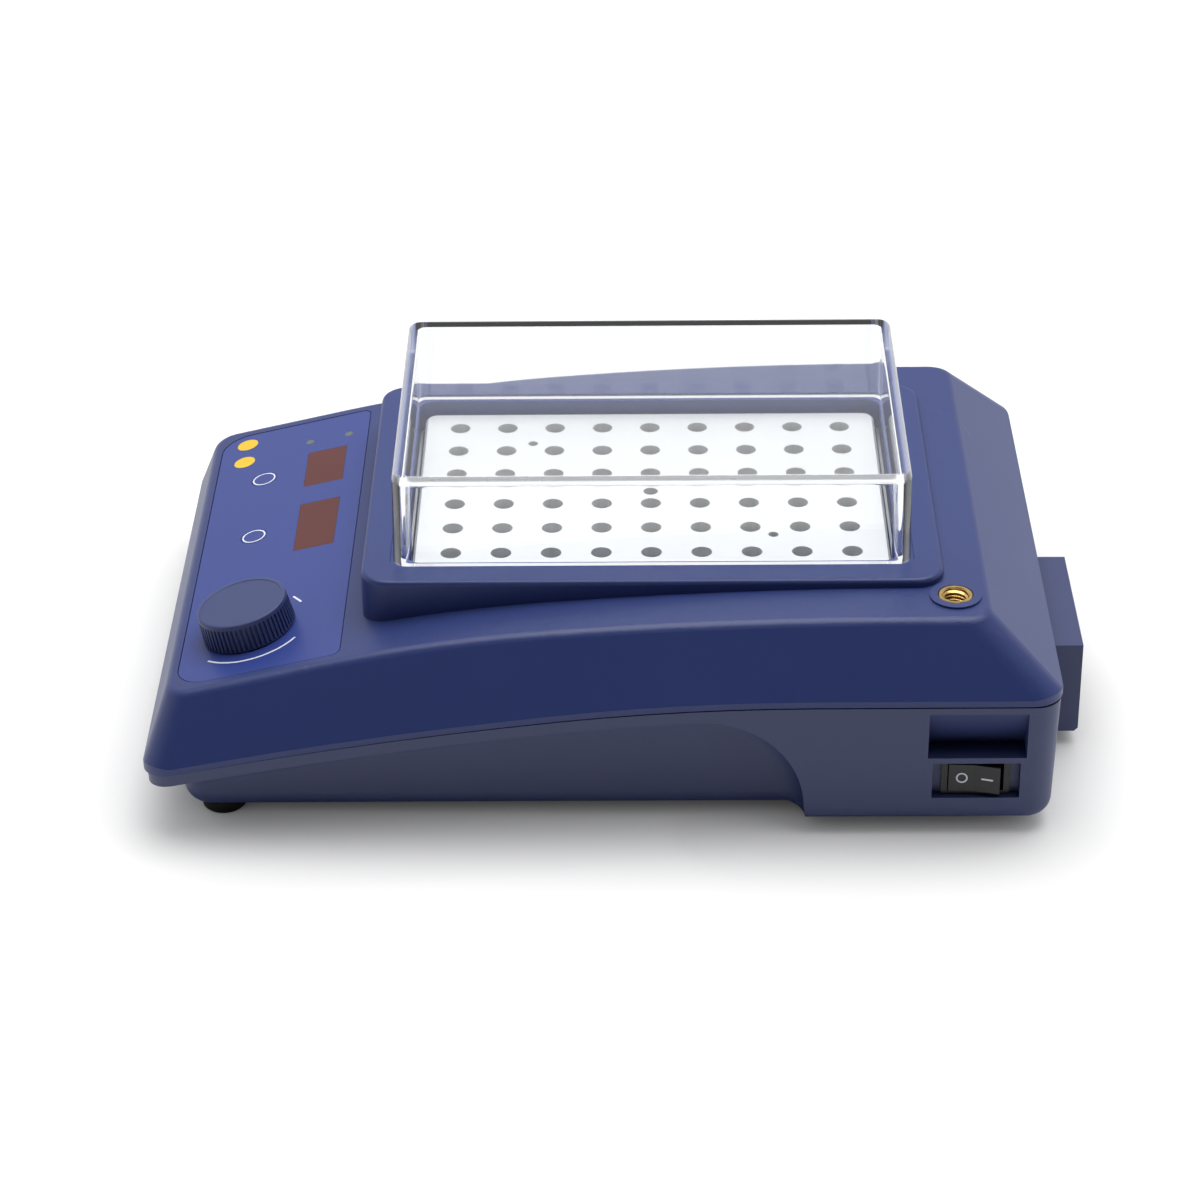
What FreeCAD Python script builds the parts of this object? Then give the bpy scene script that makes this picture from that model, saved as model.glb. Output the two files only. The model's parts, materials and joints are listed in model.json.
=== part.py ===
"""Dry bath incubator: bench heater for small tubes, modelled piece by piece.

Frame: origin on the bench under the middle of the instrument, +Z up, +Y to the
rear, +X to the operator's right. Millimetres.
"""
import FreeCAD, Part
import math
import os
import re
import Sketcher

os.makedirs("parts", exist_ok=True)
doc = FreeCAD.newDocument("DryBathIncubator")
Vector = FreeCAD.Vector

SIZES = {
    # casing envelope
    "casing_width": 198,
    "overall_length": 299,
    "foot_height": 4.5,
    "shell_wall": 2.5,
    "corner_radius": 10,
    "crease_radius": 3.5,
    # upper casing top line, side view
    "side_slope_run": 13,
    "crease_width": "=casing_width - 2 * side_slope_run",
    "crown_height": 72.5,
    "crown_setback": 59,
    "crown_end": "=overall_length / 2 - crown_setback",
    "crown_radius": 1430,
    "saddle_position": -24,
    "nose_radius": 480,
    "panel_tilt": 13.2,
    "rear_slope_run": 23,
    "rear_slope_drop": 21.8,
    "front_slope_run": 7.5,
    "front_slope_drop": 20.6,
    # parting line, side view
    "parting_height": 48.2,
    "parting_end": 60,
    "parting_radius": 700,
    "parting_turn": -20,
    "parting_nose_radius": 1350,
    "parting_tilt": 11,
    "parting_gap": 0.8,
    "lip_band": 2.5,
    "tongue_inset": 4,
    "tongue_width": 1.6,
    "tongue_rise": 1,
    "tongue_root": 1.4,
    "cut_overrun": 20,
    "joint_bite": 1,
    "head_ratio": 1.8,
    "fit_gap": 0.3,
    "press_gap": 0.05,
    "running_gap": 0.06,
    "screw_gap": 0.2,
    # bezel round the well
    "well_centre": 10.5,
    "bezel_width": 134,
    "bezel_length": 183,
    "bezel_top": 75.4,
    "bezel_radius": 9,
    "bezel_edge": 1.5,
    "rebate_width": 115.4,
    "rebate_length": 165.4,
    "rebate_depth": 0.6,
    "rebate_radius": 5,
    "aperture_width": 105,
    "aperture_length": 156,
    "aperture_radius": 5,
    "skirt_wall": 2,
    "skirt_bottom": 65.3,
    # heating block and its wells
    "block_width": 101,
    "block_length": 152,
    "block_top": 71,
    "block_height": 45,
    "block_radius": 4,
    "block_edge": 0.8,
    "tube_pitch": 16,
    "tube_radius": 3.3,
    "tube_depth": 21,
    "tube_columns": 6,
    "tube_rows": 9,
    "lifting_radius": 2.4,
    "lifting_depth": 12,
    "probe_radius": 1.65,
    "probe_depth": 25,
    "probe_side": 29,
    "probe_ahead": 39.2,
    # lid
    "lid_width": 113,
    "lid_length": 163,
    "lid_taper": 0.9,
    "lid_top": 106,
    "lid_wall": 3,
    "lid_corner": 4.5,
    "lid_edge": 2,
    # well tray, heater and insulation
    "tray_gap": 1.2,
    "tray_wall": 1.2,
    "tray_top": 65,
    "tray_flange": 7,
    "tray_boss_radius": 3.2,
    "tray_screw_radius": 1.5,
    "tray_screw_side": 57.6,
    "tray_screw_inset": 16,
    "tray_screw_head": 2,
    "tray_screw_length": 6,
    "tray_screw_depth": 5,
    "tray_screw_ahead": "=block_length / 2 - tray_screw_inset",
    "heater_thickness": 1.5,
    "insulation_thickness": 6,
    "heater_margin": 4,
    "cradle_wall": 1,
    "cradle_lip": 7,
    "cradle_margin": 20,
    "temperature_probe_radius": 1.5,
    "temperature_probe_length": 24,
    "cutout_radius": 8,
    "cutout_tab_length": 6,
    "cutout_tab_width": 6.3,
    "cutout_tab_thickness": 0.8,
    "cutout_tab_spread": 4,
    "cutout_depth": 9,
    # control panel
    "panel_rear": -87,
    "overlay_width": 163,
    "overlay_length": 53.2,
    "overlay_thickness": 0.7,
    "overlay_gap": 0.3,
    "overlay_sink": 0.1,
    "overlay_front_radius": 10,
    "overlay_rear_radius": 3,
    "display_down": 7.1,
    "display_depth": 13.7,
    "left_display_side": -58.3,
    "left_display_width": 24,
    "right_display_side": -21.8,
    "right_display_width": 31.2,
    "module_inset": 1,
    "module_drop": 1.3,
    "display_lip": 1.2,
    "lens_thickness": 1.5,
    "led_side": -66.6,
    "led_first": 7,
    "led_second": 21,
    "led_radius": 1.5,
    "key_down": 35.8,
    "left_key_side": -46.1,
    "right_key_side": -6.5,
    "key_radius": 4.4,
    "key_stem_radius": 1.5,
    "key_travel": 0.4,
    "key_switch_width": 6,
    "key_switch_height": 3.5,
    "key_plunger_radius": 1.75,
    "key_plunger_top": -4.9,
    "board_down": 9,
    "board_start": 3,
    "board_screw_side": 65,
    "board_screw_near": 12,
    "board_screw_far": 42,
    "board_screw_radius": 1.25,
    "board_screw_head": 1.6,
    "board_screw_grip": 4,
    "board_boss_radius": 2.6,
    "board_thickness": 1.6,
    "board_width": 138,
    "board_length": 42,
    # adjusting knob and encoder
    "knob_side": 54.4,
    "knob_down": 31.4,
    "knob_radius": 14.7,
    "knob_height": 9.4,
    "knob_lift": 0.5,
    "knob_rim": 2.2,
    "knob_roof": 2.6,
    "knob_hub_radius": 5.5,
    "knob_ribs": 56,
    "knob_rib_radius": 0.45,
    "knob_edge": 0.9,
    "knob_flare": 0.4,
    "knob_hub_foot": 2.8,
    "shaft_radius": 3,
    "bushing_radius": 3.5,
    "nut_radius": 5.5,
    "nut_height": 2,
    "encoder_width": 12.4,
    "encoder_height": 6,
    # bench support clamp insert
    "insert_margin": 27,
    "insert_setback": 44.8,
    "insert_side": "=casing_width / 2 - insert_margin",
    "insert_rear": "=overall_length / 2 - insert_setback",
    "insert_bore": 3.4,
    "insert_radius": 5.5,
    "insert_length": 12,
    "insert_top": 73.2,
    "insert_pad_radius": 8.1,
    "insert_mouth": 0.9,
    # lower casing
    "tub_inset": 11,
    "tub_end": 75,
    "tub_radius": 9,
    "tub_foot_radius": 6,
    "floor_thickness": 2.5,
    "room_split": 60,
    "room_step": 50,
    "room_step_floor": 35,
    "lip_height": 4,
    "cove_radius": 7,
    "rear_draft": 1.5,
    "rear_flush": 1.7,
    "rear_wall": 3.6,
    "rear_foot_radius": 6,
    "arch_start": 24,
    "arch_radius": 32,
    "arch_angle": 85,
    # power switch on the right side
    "switch_centre": 111.2,
    "switch_height": 20.7,
    "switch_opening_length": 27.4,
    "switch_opening_height": 13,
    "switch_opening_foot": 14.2,
    "switch_frame": 2,
    "switch_sink": 1.3,
    "switch_bezel_length": 21.4,
    "switch_bezel_height": 12.4,
    "switch_body_length": 19.2,
    "switch_body_height": 11.4,
    "switch_body_depth": 13,
    "switch_bay_wall": 2,
    "switch_bezel_thickness": 1.5,
    "switch_bezel_edge": 1,
    "switch_hood": 2,
    "switch_scoop_depth": 9,
    "scoop_length": 30.7,
    "switch_cavity_length": 17.6,
    "switch_cavity_height": 10.2,
    "switch_cavity_depth": 9,
    "rocker_half_length": 8,
    "rocker_height": 9.6,
    "rocker_stub": 0.45,
    "rocker_throw": 18,
    "rocker_pivot_sink": 1.8,
    "rocker_pivot_radius": 1.2,
    "rocker_face": 3.4,
    "rocker_valley": 2.6,
    "rocker_skirt": 0.5,
    "rocker_heel": 3.5,
    "rocker_keel": 4,
    "terminal_length": 6,
    "terminal_width": 6.3,
    "terminal_thickness": 0.8,
    # mains inlet on the rear
    "inlet_side": 17,
    "inlet_box_width": 57,
    "inlet_box_depth": 12,
    "inlet_box_top": 38,
    "inlet_box_foot": 5.3,
    "inlet_box_wall": 2.5,
    "inlet_box_bevel": 1.2,
    "inlet_post_radius": 3.2,
    "inlet_flange_width": 50,
    "inlet_flange_height": 27,
    "inlet_flange_thickness": 2.4,
    "inlet_flange_corner": 2,
    "inlet_pitch": 40,
    "inlet_body_width": 28,
    "inlet_body_depth": 20,
    "inlet_body_height": 25.4,
    "inlet_screw_radius": 1.5,
    "inlet_head_radius": 2.8,
    "inlet_head_height": 1.6,
    "socket_lift": 3.3,
    "socket_bevel": 4,
    "blade_width": 2,
    "blade_height": 4,
    "blade_spread": 7,
    "blade_reach": 14.5,
    "blade_tail": 11,
    "earth_lift": 4,
    "drawer_width": 23.4,
    "drawer_drop": 8.9,
    "drawer_front": 4,
    "drawer_grip_width": 9,
    "drawer_grip_height": 2.4,
    "drawer_grip_depth": 1.2,
    "fuse_radius": 2.6,
    "fuse_length": 20,
    "fuse_cap_length": 5,
    "fuse_cap_step": 0.2,
    "socket_width": 24.4,
    "socket_height": 16.4,
    "socket_depth": 17,
    "drawer_height": 5.4,
    "drawer_depth": 13.7,
    # feet and case bosses
    "foot_radius": 7,
    "front_foot_side": 77,
    "front_foot_ahead": -126.5,
    "rear_foot_side": 66,
    "rear_foot_behind": 122,
    "boss_radius": 5,
    "front_boss_split": 20,
    "rear_boss_split": 30,
    "case_screw_radius": 1.5,
    "case_screw_head": 2.8,
    "case_screw_head_height": 1.7,
    "case_screw_grip": 8,
    "foot_tread_radius": 6.2,
    "foot_tread": 0.8,
    "foot_recess_radius": 3.3,
    "foot_recess": 2.6,
    # power board
    "power_board_width": 140,
    "power_board_length": 44,
    "power_board_rise": 8,
    "power_board_middle": -110,
    "power_screw_side": 65,
    "power_screw_ahead": 17,
    "standoff_radius": 3,
    "transformer_side": 44,
    "core_width": 32,
    "core_length": 24,
    "core_height": 16,
    "winding_width": 20,
    "winding_length": 34,
    "winding_height": 13,
    "sink_side": 40,
    "sink_width": 30,
    "sink_length": 28,
    "sink_base": 2,
    "sink_fins": 6,
    "fin_thickness": 1.2,
    "fin_height": 14,
    "capacitor_radius": 5,
    "capacitor_height": 13,
    "capacitor_side": 8,
    "capacitor_ahead": 5,
    "capacitor_bevel": 0.6,
    "terminal_block_width": 36,
    "terminal_block_depth": 8,
    "terminal_block_height": 9,
    "terminal_block_ways": 6,
    "wire_hole_radius": 1.6,
}

sheet = doc.addObject("Spreadsheet::Sheet", "Sizes")
for row, (alias, amount) in enumerate(SIZES.items(), start=1):
    sheet.set(f"A{row}", alias)
    sheet.set(f"B{row}", str(amount))
    sheet.setAlias(f"B{row}", alias)
doc.recompute()

NODES = {}


def size(alias):
    """The number in the sheet's cell of that name."""
    return float(getattr(sheet, alias))


def link(text):
    """An expression over the sheet's names, with each name pointed at its cell."""
    names = r"\b[a-z]+(?:_[a-z]+)+\b"
    return re.sub(
        names, lambda found: "Sizes." + found.group() if found.group() in SIZES else found.group(), text,
    )


def bind(item, **texts):
    for prop, text in texts.items():
        item.setExpression(prop, link(text))
    return item


def place(item, x="0", y="0", z="0"):
    for axis, text in zip("xyz", (x, y, z)):
        item.setExpression(f"Placement.Base.{axis}", link(text))
    return item


def box(name, length, width, height, x="0", y="0", z="0"):
    """A box whose low corner is at x, y, z."""
    item = doc.addObject("Part::Box", name)
    return place(bind(item, Length=length, Width=width, Height=height), x, y, z)


def centred_box(name, length, width, height, x="0", y="0", z="0"):
    """A box centred on x and y that stands on z."""
    return box(name, length, width, height, f"{x} - ({length}) / 2", f"{y} - ({width}) / 2", z)


TURNS = {
    "X": FreeCAD.Rotation(Vector(0, 1, 0), 90),
    "Y": FreeCAD.Rotation(Vector(1, 0, 0), -90),
    "Z": FreeCAD.Rotation(),
}


def cylinder(name, radius, height, x="0", y="0", z="0", along="Z"):
    item = doc.addObject("Part::Cylinder", name)
    item.Placement.Rotation = TURNS[along]
    return place(bind(item, Radius=radius, Height=height), x, y, z)


def fuse(name, *items):
    item = doc.addObject("Part::MultiFuse", name)
    item.Shapes = list(items)
    item.Refine = True
    return item


def common(name, *items):
    item = doc.addObject("Part::MultiCommon", name)
    item.Shapes = list(items)
    item.Refine = True
    return item


def cut(name, base, *tools):
    item = doc.addObject("Part::Cut", name)
    item.Base = base
    item.Tool = tools[0] if len(tools) == 1 else fuse(name + "Tools", *tools)
    item.Refine = True
    return item


def mirror(name, source, normal):
    item = doc.addObject("Part::Mirroring", name)
    item.Source = source
    item.Normal = normal
    return item


def group(name, items):
    """Separate solids kept together as one set."""
    item = doc.addObject("Part::Compound", name)
    item.Links = list(items)
    return item


def round_edges(name, base, radius, test):
    """A fillet on the edges of base that pass the test."""
    doc.recompute()
    item = doc.addObject("Part::Fillet", name)
    item.Base = base
    item.Edges = [(n, radius, radius) for n, edge in enumerate(base.Shape.Edges, start=1) if test(edge)]
    return item


def bevel_edges(name, base, width, test):
    """A chamfer on the edges of base that pass the test."""
    doc.recompute()
    item = doc.addObject("Part::Chamfer", name)
    item.Base = base
    item.Edges = [(n, width, width) for n, edge in enumerate(base.Shape.Edges, start=1) if test(edge)]
    return item


def ends(edge):
    return [vertex.Point for vertex in edge.Vertexes]


def is_upright(edge):
    points = ends(edge)
    return len(points) == 2 and math.hypot(points[0].x - points[1].x, points[0].y - points[1].y) < 0.01


def is_level(edge, height, slack=0.01):
    """Whether the whole edge lies at that height."""
    bounds = edge.BoundBox
    return abs(bounds.ZMin - height) < slack and abs(bounds.ZMax - height) < slack


def rounded_box(name, length, width, height, x, y, z, radius):
    """A box centred on x and y that stands on z, with rounded upright corners."""
    return round_edges(
        name, centred_box(name + "Block", length, width, height, x, y, z), size(radius), is_upright,
    )


def node(name, item):
    item.Label = name
    NODES[name] = item
    return item


def new_body(name):
    return doc.addObject("PartDesign::Body", name)


def sketch_on(body, name, role="XY_Plane", lift="0"):
    """A sketch on one of the body's own origin planes, lifted off it by an amount."""
    sketch = body.newObject("Sketcher::SketchObject", name)
    plane = [item for item in body.Origin.OriginFeatures if item.Role == role][0]
    sketch.AttachmentSupport = [(plane, "")]
    sketch.MapMode = "FlatFace"
    sketch.setExpression("AttachmentOffset.Base.z", link(lift))
    return sketch


def pin_point(sketch, tag, geometry, end, across, along):
    """Hold one point of the sketch at its two distances from the origin."""
    for kind, axis, text in (("DistanceX", -2, across), ("DistanceY", -1, along)):
        if text == "0":
            sketch.addConstraint(Sketcher.Constraint("PointOnObject", geometry, end, axis))
            continue
        index = sketch.addConstraint(Sketcher.Constraint(kind, -1, 1, geometry, end, 1.0))
        sketch.renameConstraint(index, f"{tag}_{kind}")
        sketch.setExpression(f"Constraints.{tag}_{kind}", link(text))


def outline(sketch, points):
    """A closed outline of straight lines through the points."""
    count = len(points)
    seeds = [
        Vector(math.cos(math.tau * n / count), math.sin(math.tau * n / count), 0)
        for n in range(count)
    ]
    for n in range(count):
        sketch.addGeometry(Part.LineSegment(seeds[n], seeds[(n + 1) % count]), False)
    for n in range(count):
        sketch.addConstraint(Sketcher.Constraint("Coincident", n, 2, (n + 1) % count, 1))
    for n, (across, along) in enumerate(points):
        pin_point(sketch, f"point{n}", n, 1, across, along)
    return sketch


def rectangle(sketch, length, width, x="0", y="0"):
    low_x, high_x = f"{x} - ({length}) / 2", f"{x} + ({length}) / 2"
    low_y, high_y = f"{y} - ({width}) / 2", f"{y} + ({width}) / 2"
    return outline(sketch, [(low_x, low_y), (high_x, low_y), (high_x, high_y), (low_x, high_y)])


def circle(sketch, radius, x="0", y="0"):
    index = sketch.addGeometry(Part.Circle(Vector(0.5, 0.5, 0), Vector(0, 0, 1), 1.0), False)
    pin_point(sketch, f"centre{index}", index, 3, x, y)
    limit = sketch.addConstraint(Sketcher.Constraint("Radius", index, 1.0))
    sketch.renameConstraint(limit, f"radius{index}")
    sketch.setExpression(f"Constraints.radius{index}", link(radius))
    return sketch


def pad(body, name, sketch, length):
    item = body.newObject("PartDesign::Pad", name)
    item.Profile = sketch
    return bind(item, Length=length)


def pocket(body, name, sketch, length):
    item = body.newObject("PartDesign::Pocket", name)
    item.Profile = sketch
    return bind(item, Length=length)


def fillet(body, name, base, radius, test):
    doc.recompute()
    item = body.newObject("PartDesign::Fillet", name)
    item.Base = (base, [f"Edge{n}" for n, edge in enumerate(base.Shape.Edges, start=1) if test(edge)])
    return bind(item, Radius=radius)


def chamfer(body, name, base, width, test):
    doc.recompute()
    item = body.newObject("PartDesign::Chamfer", name)
    item.Base = (base, [f"Edge{n}" for n, edge in enumerate(base.Shape.Edges, start=1) if test(edge)])
    return bind(item, Size=width)


def turned(name, points):
    """A body turned about its own Z axis from a half outline of radius and height."""
    body = new_body(name)
    sketch = outline(sketch_on(body, name + "Profile", "XZ_Plane"), points)
    turn = body.newObject("PartDesign::Revolution", name + "Turn")
    turn.Profile = sketch
    turn.ReferenceAxis = (sketch, ["V_Axis"])
    turn.Angle = 360
    return body


# Casing form: the curved top line, the ruled side slopes and the hips

LOWEST = -20
HIGHEST = 120
REACH = 130


def side_line(height, end, radius, turn, nose_radius, tilt, drop=0.0):
    """Side view line: level at the rear, two tangent arcs, then a straight fall to the front."""
    rear = size("overall_length") / 2 + 5
    front = -rear - 5
    level = height - drop
    first = math.asin((end - turn) / radius)
    last = math.radians(tilt)
    saddle = (turn, level - radius * (1 - math.cos(first)))
    centre = (turn + nose_radius * math.sin(first), saddle[1] - nose_radius * math.cos(first))
    half = (first + last) / 2
    nose = (centre[0] - nose_radius * math.sin(last), centre[1] + nose_radius * math.cos(last))
    return [
        (rear, level),
        (end, level),
        (end - radius * math.sin(first / 2), level - radius * (1 - math.cos(first / 2))),
        saddle,
        (centre[0] - nose_radius * math.sin(half), centre[1] + nose_radius * math.cos(half)),
        nose,
        (front, nose[1] - (nose[0] - front) * math.tan(last)),
    ]


def crown_line(drop=0.0):
    sizes = [
        size(a)
        for a in ("crown_height", "crown_end", "crown_radius", "saddle_position", "nose_radius")
    ]
    return side_line(*sizes, size("panel_tilt"), drop)


def parting_line(drop=0.0):
    sizes = [size(a) for a in ("parting_height", "parting_end", "parting_radius", "parting_turn")]
    return side_line(*sizes, size("parting_nose_radius"), size("parting_tilt"), drop)


def region(name, line, x, limit):
    """The wire between a side view line and a level limit, at one x."""
    spots = [Vector(x, y, z) for y, z in line]
    corners = [spots[6], Vector(x, line[6][0], limit), Vector(x, line[0][0], limit), spots[0]]
    edges = [
        Part.LineSegment(spots[0], spots[1]),
        Part.Arc(spots[1], spots[2], spots[3]),
        Part.Arc(spots[3], spots[4], spots[5]),
        Part.LineSegment(spots[5], spots[6]),
        Part.LineSegment(corners[0], corners[1]),
        Part.LineSegment(corners[1], corners[2]),
        Part.LineSegment(corners[2], corners[3]),
    ]
    item = doc.addObject("Part::Feature", name)
    item.Shape = Part.Wire([edge.toShape() for edge in edges])
    return item


def slab(name, section, width):
    """A section wire pushed across the casing, to the given width."""
    item = doc.addObject("Part::Extrusion", name)
    item.Base = section
    item.DirMode = "Custom"
    item.Dir = Vector(1, 0, 0)
    item.Solid = True
    item.FaceMakerClass = "Part::FaceMakerBullseye"
    return bind(item, LengthFwd=width)


def slope_outline(name, inset):
    """Side view of the front and rear slopes, wider than the casing form above them."""
    rear = size("overall_length") / 2 - size("inlet_box_depth") - inset
    front = -size("overall_length") / 2 + inset
    rear_lip = size("crown_height") - size("rear_slope_drop") - inset
    front_lip = parting_line(-size("lip_band"))[6][1]
    front_lip += (front - parting_line()[6][0]) * math.tan(math.radians(size("parting_tilt"))) - inset
    rear_rate = size("rear_slope_run") / size("rear_slope_drop")
    front_rate = size("front_slope_run") / size("front_slope_drop")
    spots = [
        (rear, LOWEST),
        (rear, rear_lip),
        (rear - (HIGHEST - rear_lip) * rear_rate, HIGHEST),
        (front + (HIGHEST - front_lip) * front_rate, HIGHEST),
        (front, front_lip),
        (front, LOWEST),
    ]
    item = doc.addObject("Part::Feature", name)
    item.Shape = Part.makePolygon([Vector(-REACH, y, z) for y, z in spots + spots[:1]])
    return item


def is_lip_corner(edge):
    return is_upright(edge) and max(abs(point.x) for point in ends(edge)) > size("crease_width") / 2


def is_hip(edge):
    """An edge that climbs from a lip corner to the crown."""
    points = ends(edge)
    if len(points) != 2 or is_upright(edge):
        return False
    behind = size("overall_length") / 2 - size("inlet_box_depth") - size("rear_slope_run") - 4
    ahead = -size("overall_length") / 2 + size("front_slope_run") + 4
    at_rear = min(point.y for point in points) > behind
    at_front = max(point.y for point in points) < ahead
    climbs = abs(points[0].z - points[1].z) > size("front_slope_drop") / 2
    leans = abs(points[0].x - points[1].x) > 4
    return (at_rear or at_front) and climbs and leans


def casing_form(name, inset, floor):
    """The hipped form of the upper casing, drawn in by an inset, above a floor section."""
    crease = size("crease_width") / 2 - inset
    middle = slab(
        name + "Core", region(name + "CoreLine", crown_line(inset), -crease, LOWEST), str(2 * crease),
    )
    loft = doc.addObject("Part::Loft", name + "Right")
    lip = size("casing_width") / 2 - inset
    loft.Sections = [
        region(name + "Crease", crown_line(inset), crease, LOWEST),
        region(name + "Lip", parting_line(inset - size("lip_band")), lip, LOWEST),
    ]
    loft.Solid = True
    loft.Ruled = True
    left = mirror(name + "Left", loft, Vector(1, 0, 0))
    roof = fuse(name + "Roof", middle, loft, left)
    slopes = slab(name + "Slopes", slope_outline(name + "SlopeLine", inset), str(2 * REACH))
    blank = common(name + "Blank", roof, slopes, floor)
    lips = round_edges(name + "Corners", blank, size("corner_radius") - inset, is_lip_corner)
    return round_edges(name + "Hips", lips, size("corner_radius") - inset, is_hip)


def crown_at(y):
    """Height of the top line at one place along the casing."""
    line = crown_line()
    (_, level), (end, _), _, (turn, _), _, (nose, nose_height), _ = line
    if y >= end:
        return level
    if y >= turn:
        radius = size("crown_radius")
        return level - radius + math.sqrt(radius**2 - (end - y) ** 2)
    if y >= nose:
        radius = size("nose_radius")
        centre = nose + radius * math.sin(math.radians(size("panel_tilt")))
        base = nose_height - radius * math.cos(math.radians(size("panel_tilt")))
        return base + math.sqrt(radius**2 - (y - centre) ** 2)
    return nose_height - (nose - y) * math.tan(math.radians(size("panel_tilt")))


def is_crease(edge):
    """An edge of the rim that runs round the top face."""
    points = ends(edge)
    on_crown = len(points) == 2 and all(abs(point.z - crown_at(point.y)) < 0.05 for point in points)
    return on_crown and edge.BoundBox.XLength < size("crease_width") - 1


def across(name, section):
    """A section pushed right across the casing."""
    return slab(name, section, str(2 * REACH))


def above(name, line):
    return across(name, region(name + "Line", line, -REACH, HIGHEST))


def below(name, line):
    return across(name, region(name + "Line", line, -REACH, LOWEST))


# Control panel: places on it are measured to the right, up the slope and out of it

FIRST_TURN = "asin((crown_end - saddle_position) / crown_radius)"
NOSE_HEIGHT = (
    f"crown_height - crown_radius * (1 - cos({FIRST_TURN}))"
    f" - nose_radius * (cos({FIRST_TURN}) - cos(panel_tilt))"
)
NOSE_PLACE = f"saddle_position + nose_radius * (sin({FIRST_TURN}) - sin(panel_tilt))"

PANEL_HEIGHT = f"({NOSE_HEIGHT} + (panel_rear - ({NOSE_PLACE})) * tan(panel_tilt))"


def on_panel(item, right, down, out):
    """Tilt an upright item with the panel and put its origin at a place on the panel."""
    item.Placement.Rotation = FreeCAD.Rotation(Vector(1, 0, 0), size("panel_tilt"))
    item.setExpression("Placement.Rotation.Angle", link("panel_tilt"))
    y = f"panel_rear - ({down}) * cos(panel_tilt) - ({out}) * sin(panel_tilt)"
    z = f"{PANEL_HEIGHT} - ({down}) * sin(panel_tilt) + ({out}) * cos(panel_tilt)"
    return place(item, right, y, z)


def panel_box(name, right, width, down, depth, low, high):
    """A block on the panel: from right, width wide; from down, depth long; low to high out of it."""
    item = bind(doc.addObject("Part::Box", name), Length=width, Width=depth, Height=f"({high}) - ({low})")
    return on_panel(item, right, f"{down} + {depth}", low)


def panel_pin(name, radius, right, down, low, high):
    item = bind(doc.addObject("Part::Cylinder", name), Radius=radius, Height=f"({high}) - ({low})")
    return on_panel(item, right, down, low)


def panel_plate(name, grow, thickness, low):
    """A plate with the overlay's outline, grown all round, standing on a level out of the panel."""
    body = new_body(name)
    sketch = sketch_on(body, name + "Outline")
    rectangle(
        sketch, f"overlay_width + 2 * {grow}", f"overlay_length + 2 * {grow}", "0", "-overlay_length / 2",
    )
    blank = pad(body, name + "Pad", sketch, thickness)
    front = fillet(
        body, name + "Front", blank, f"overlay_front_radius + {grow}", lambda e: is_upright(e) and ends(e)[
            0
        ].y < -9
    )
    fillet(
        body, name + "Rear", front, f"overlay_rear_radius + {grow}",
        lambda e: is_upright(e) and ends(e)[0].y > -9,
    )
    return on_panel(body, "0", "0", low)


SINK = "(overlay_sink + overlay_thickness)"
LENS_SEAT = "(overlay_sink + lens_thickness)"
WALL_UNDER = "(shell_wall + 3)"
DISPLAYS = {
    "left": ("left_display_side", "left_display_width"),
    "right": ("right_display_side", "right_display_width"),
}
KEYS = {"left": "left_key_side", "right": "right_key_side"}
LEDS = {"First": "led_first", "Second": "led_second"}
BOARD_SCREWS = [(right, down) for right in (-1, 1) for down in ("board_screw_near", "board_screw_far")]
QUARTERS = [(right, rear) for right in (-1, 1) for rear in (-1, 1)]


def case_foot(right, rear):
    """Place of one foot and of the case boss over it."""
    if rear > 0:
        return f"{right} * rear_foot_side", "rear_foot_behind", "rear_boss_split"
    return f"{right} * front_foot_side", "front_foot_ahead", "front_boss_split"


def tray_screw(right, rear):
    return f"{right} * tray_screw_side", f"well_centre + {rear} * tray_screw_ahead"


# Upper casing

room = box(
    "CasingRoom", str(2 * REACH), "overall_length * 2", str(HIGHEST - LOWEST), str(-REACH),
    "-overall_length", str(LOWEST),
)
outer_form = casing_form("CasingOuter", 0, above("AboveParting", parting_line(-size("parting_gap") / 2)))
inner_form = casing_form("CasingInner", size("shell_wall"), room)
outer_shell = round_edges("CasingCrease", outer_form, size("crease_radius"), is_crease)

bezel_rise = "bezel_top - (skirt_bottom - cut_overrun)"
bezel = rounded_box(
    "Bezel", "bezel_width", "bezel_length", bezel_rise, "0", "well_centre", "skirt_bottom - cut_overrun",
    "bezel_radius",
)
bezel_round = round_edges(
    "BezelEdge", bezel, size("bezel_edge"), lambda edge: is_level(edge, size("bezel_top")),
)
ledge = "(bezel_top - rebate_depth - shell_wall)"
bezel_room = rounded_box(
    "BezelRoom", "bezel_width - 2 * shell_wall", "bezel_length - 2 * shell_wall",
    f"{ledge} - (skirt_bottom - cut_overrun - joint_bite)", "0", "well_centre",
    "skirt_bottom - cut_overrun - joint_bite", "bezel_radius",
)
skirt = rounded_box(
    "Skirt", "aperture_width + 2 * skirt_wall", "aperture_length + 2 * skirt_wall",
    f"{ledge} + joint_bite - skirt_bottom", "0", "well_centre", "skirt_bottom", "aperture_radius",
)
aperture = rounded_box(
    "Aperture", "aperture_width", "aperture_length", "3 * cut_overrun", "0", "well_centre",
    "skirt_bottom - cut_overrun", "aperture_radius",
)
rebate = rounded_box(
    "Rebate", "rebate_width", "rebate_length", "cut_overrun", "0", "well_centre",
    "bezel_top - rebate_depth", "rebate_radius",
)

insert_pad = cylinder(
    "InsertPad", "insert_pad_radius", "insert_length + 2 * joint_bite", "insert_side", "insert_rear",
    "insert_top - insert_length - 2 * joint_bite",
)
insert_hole = cylinder(
    "InsertHole", "insert_radius + press_gap", "cut_overrun", "insert_side", "insert_rear",
    "insert_top - insert_length",
)

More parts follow.
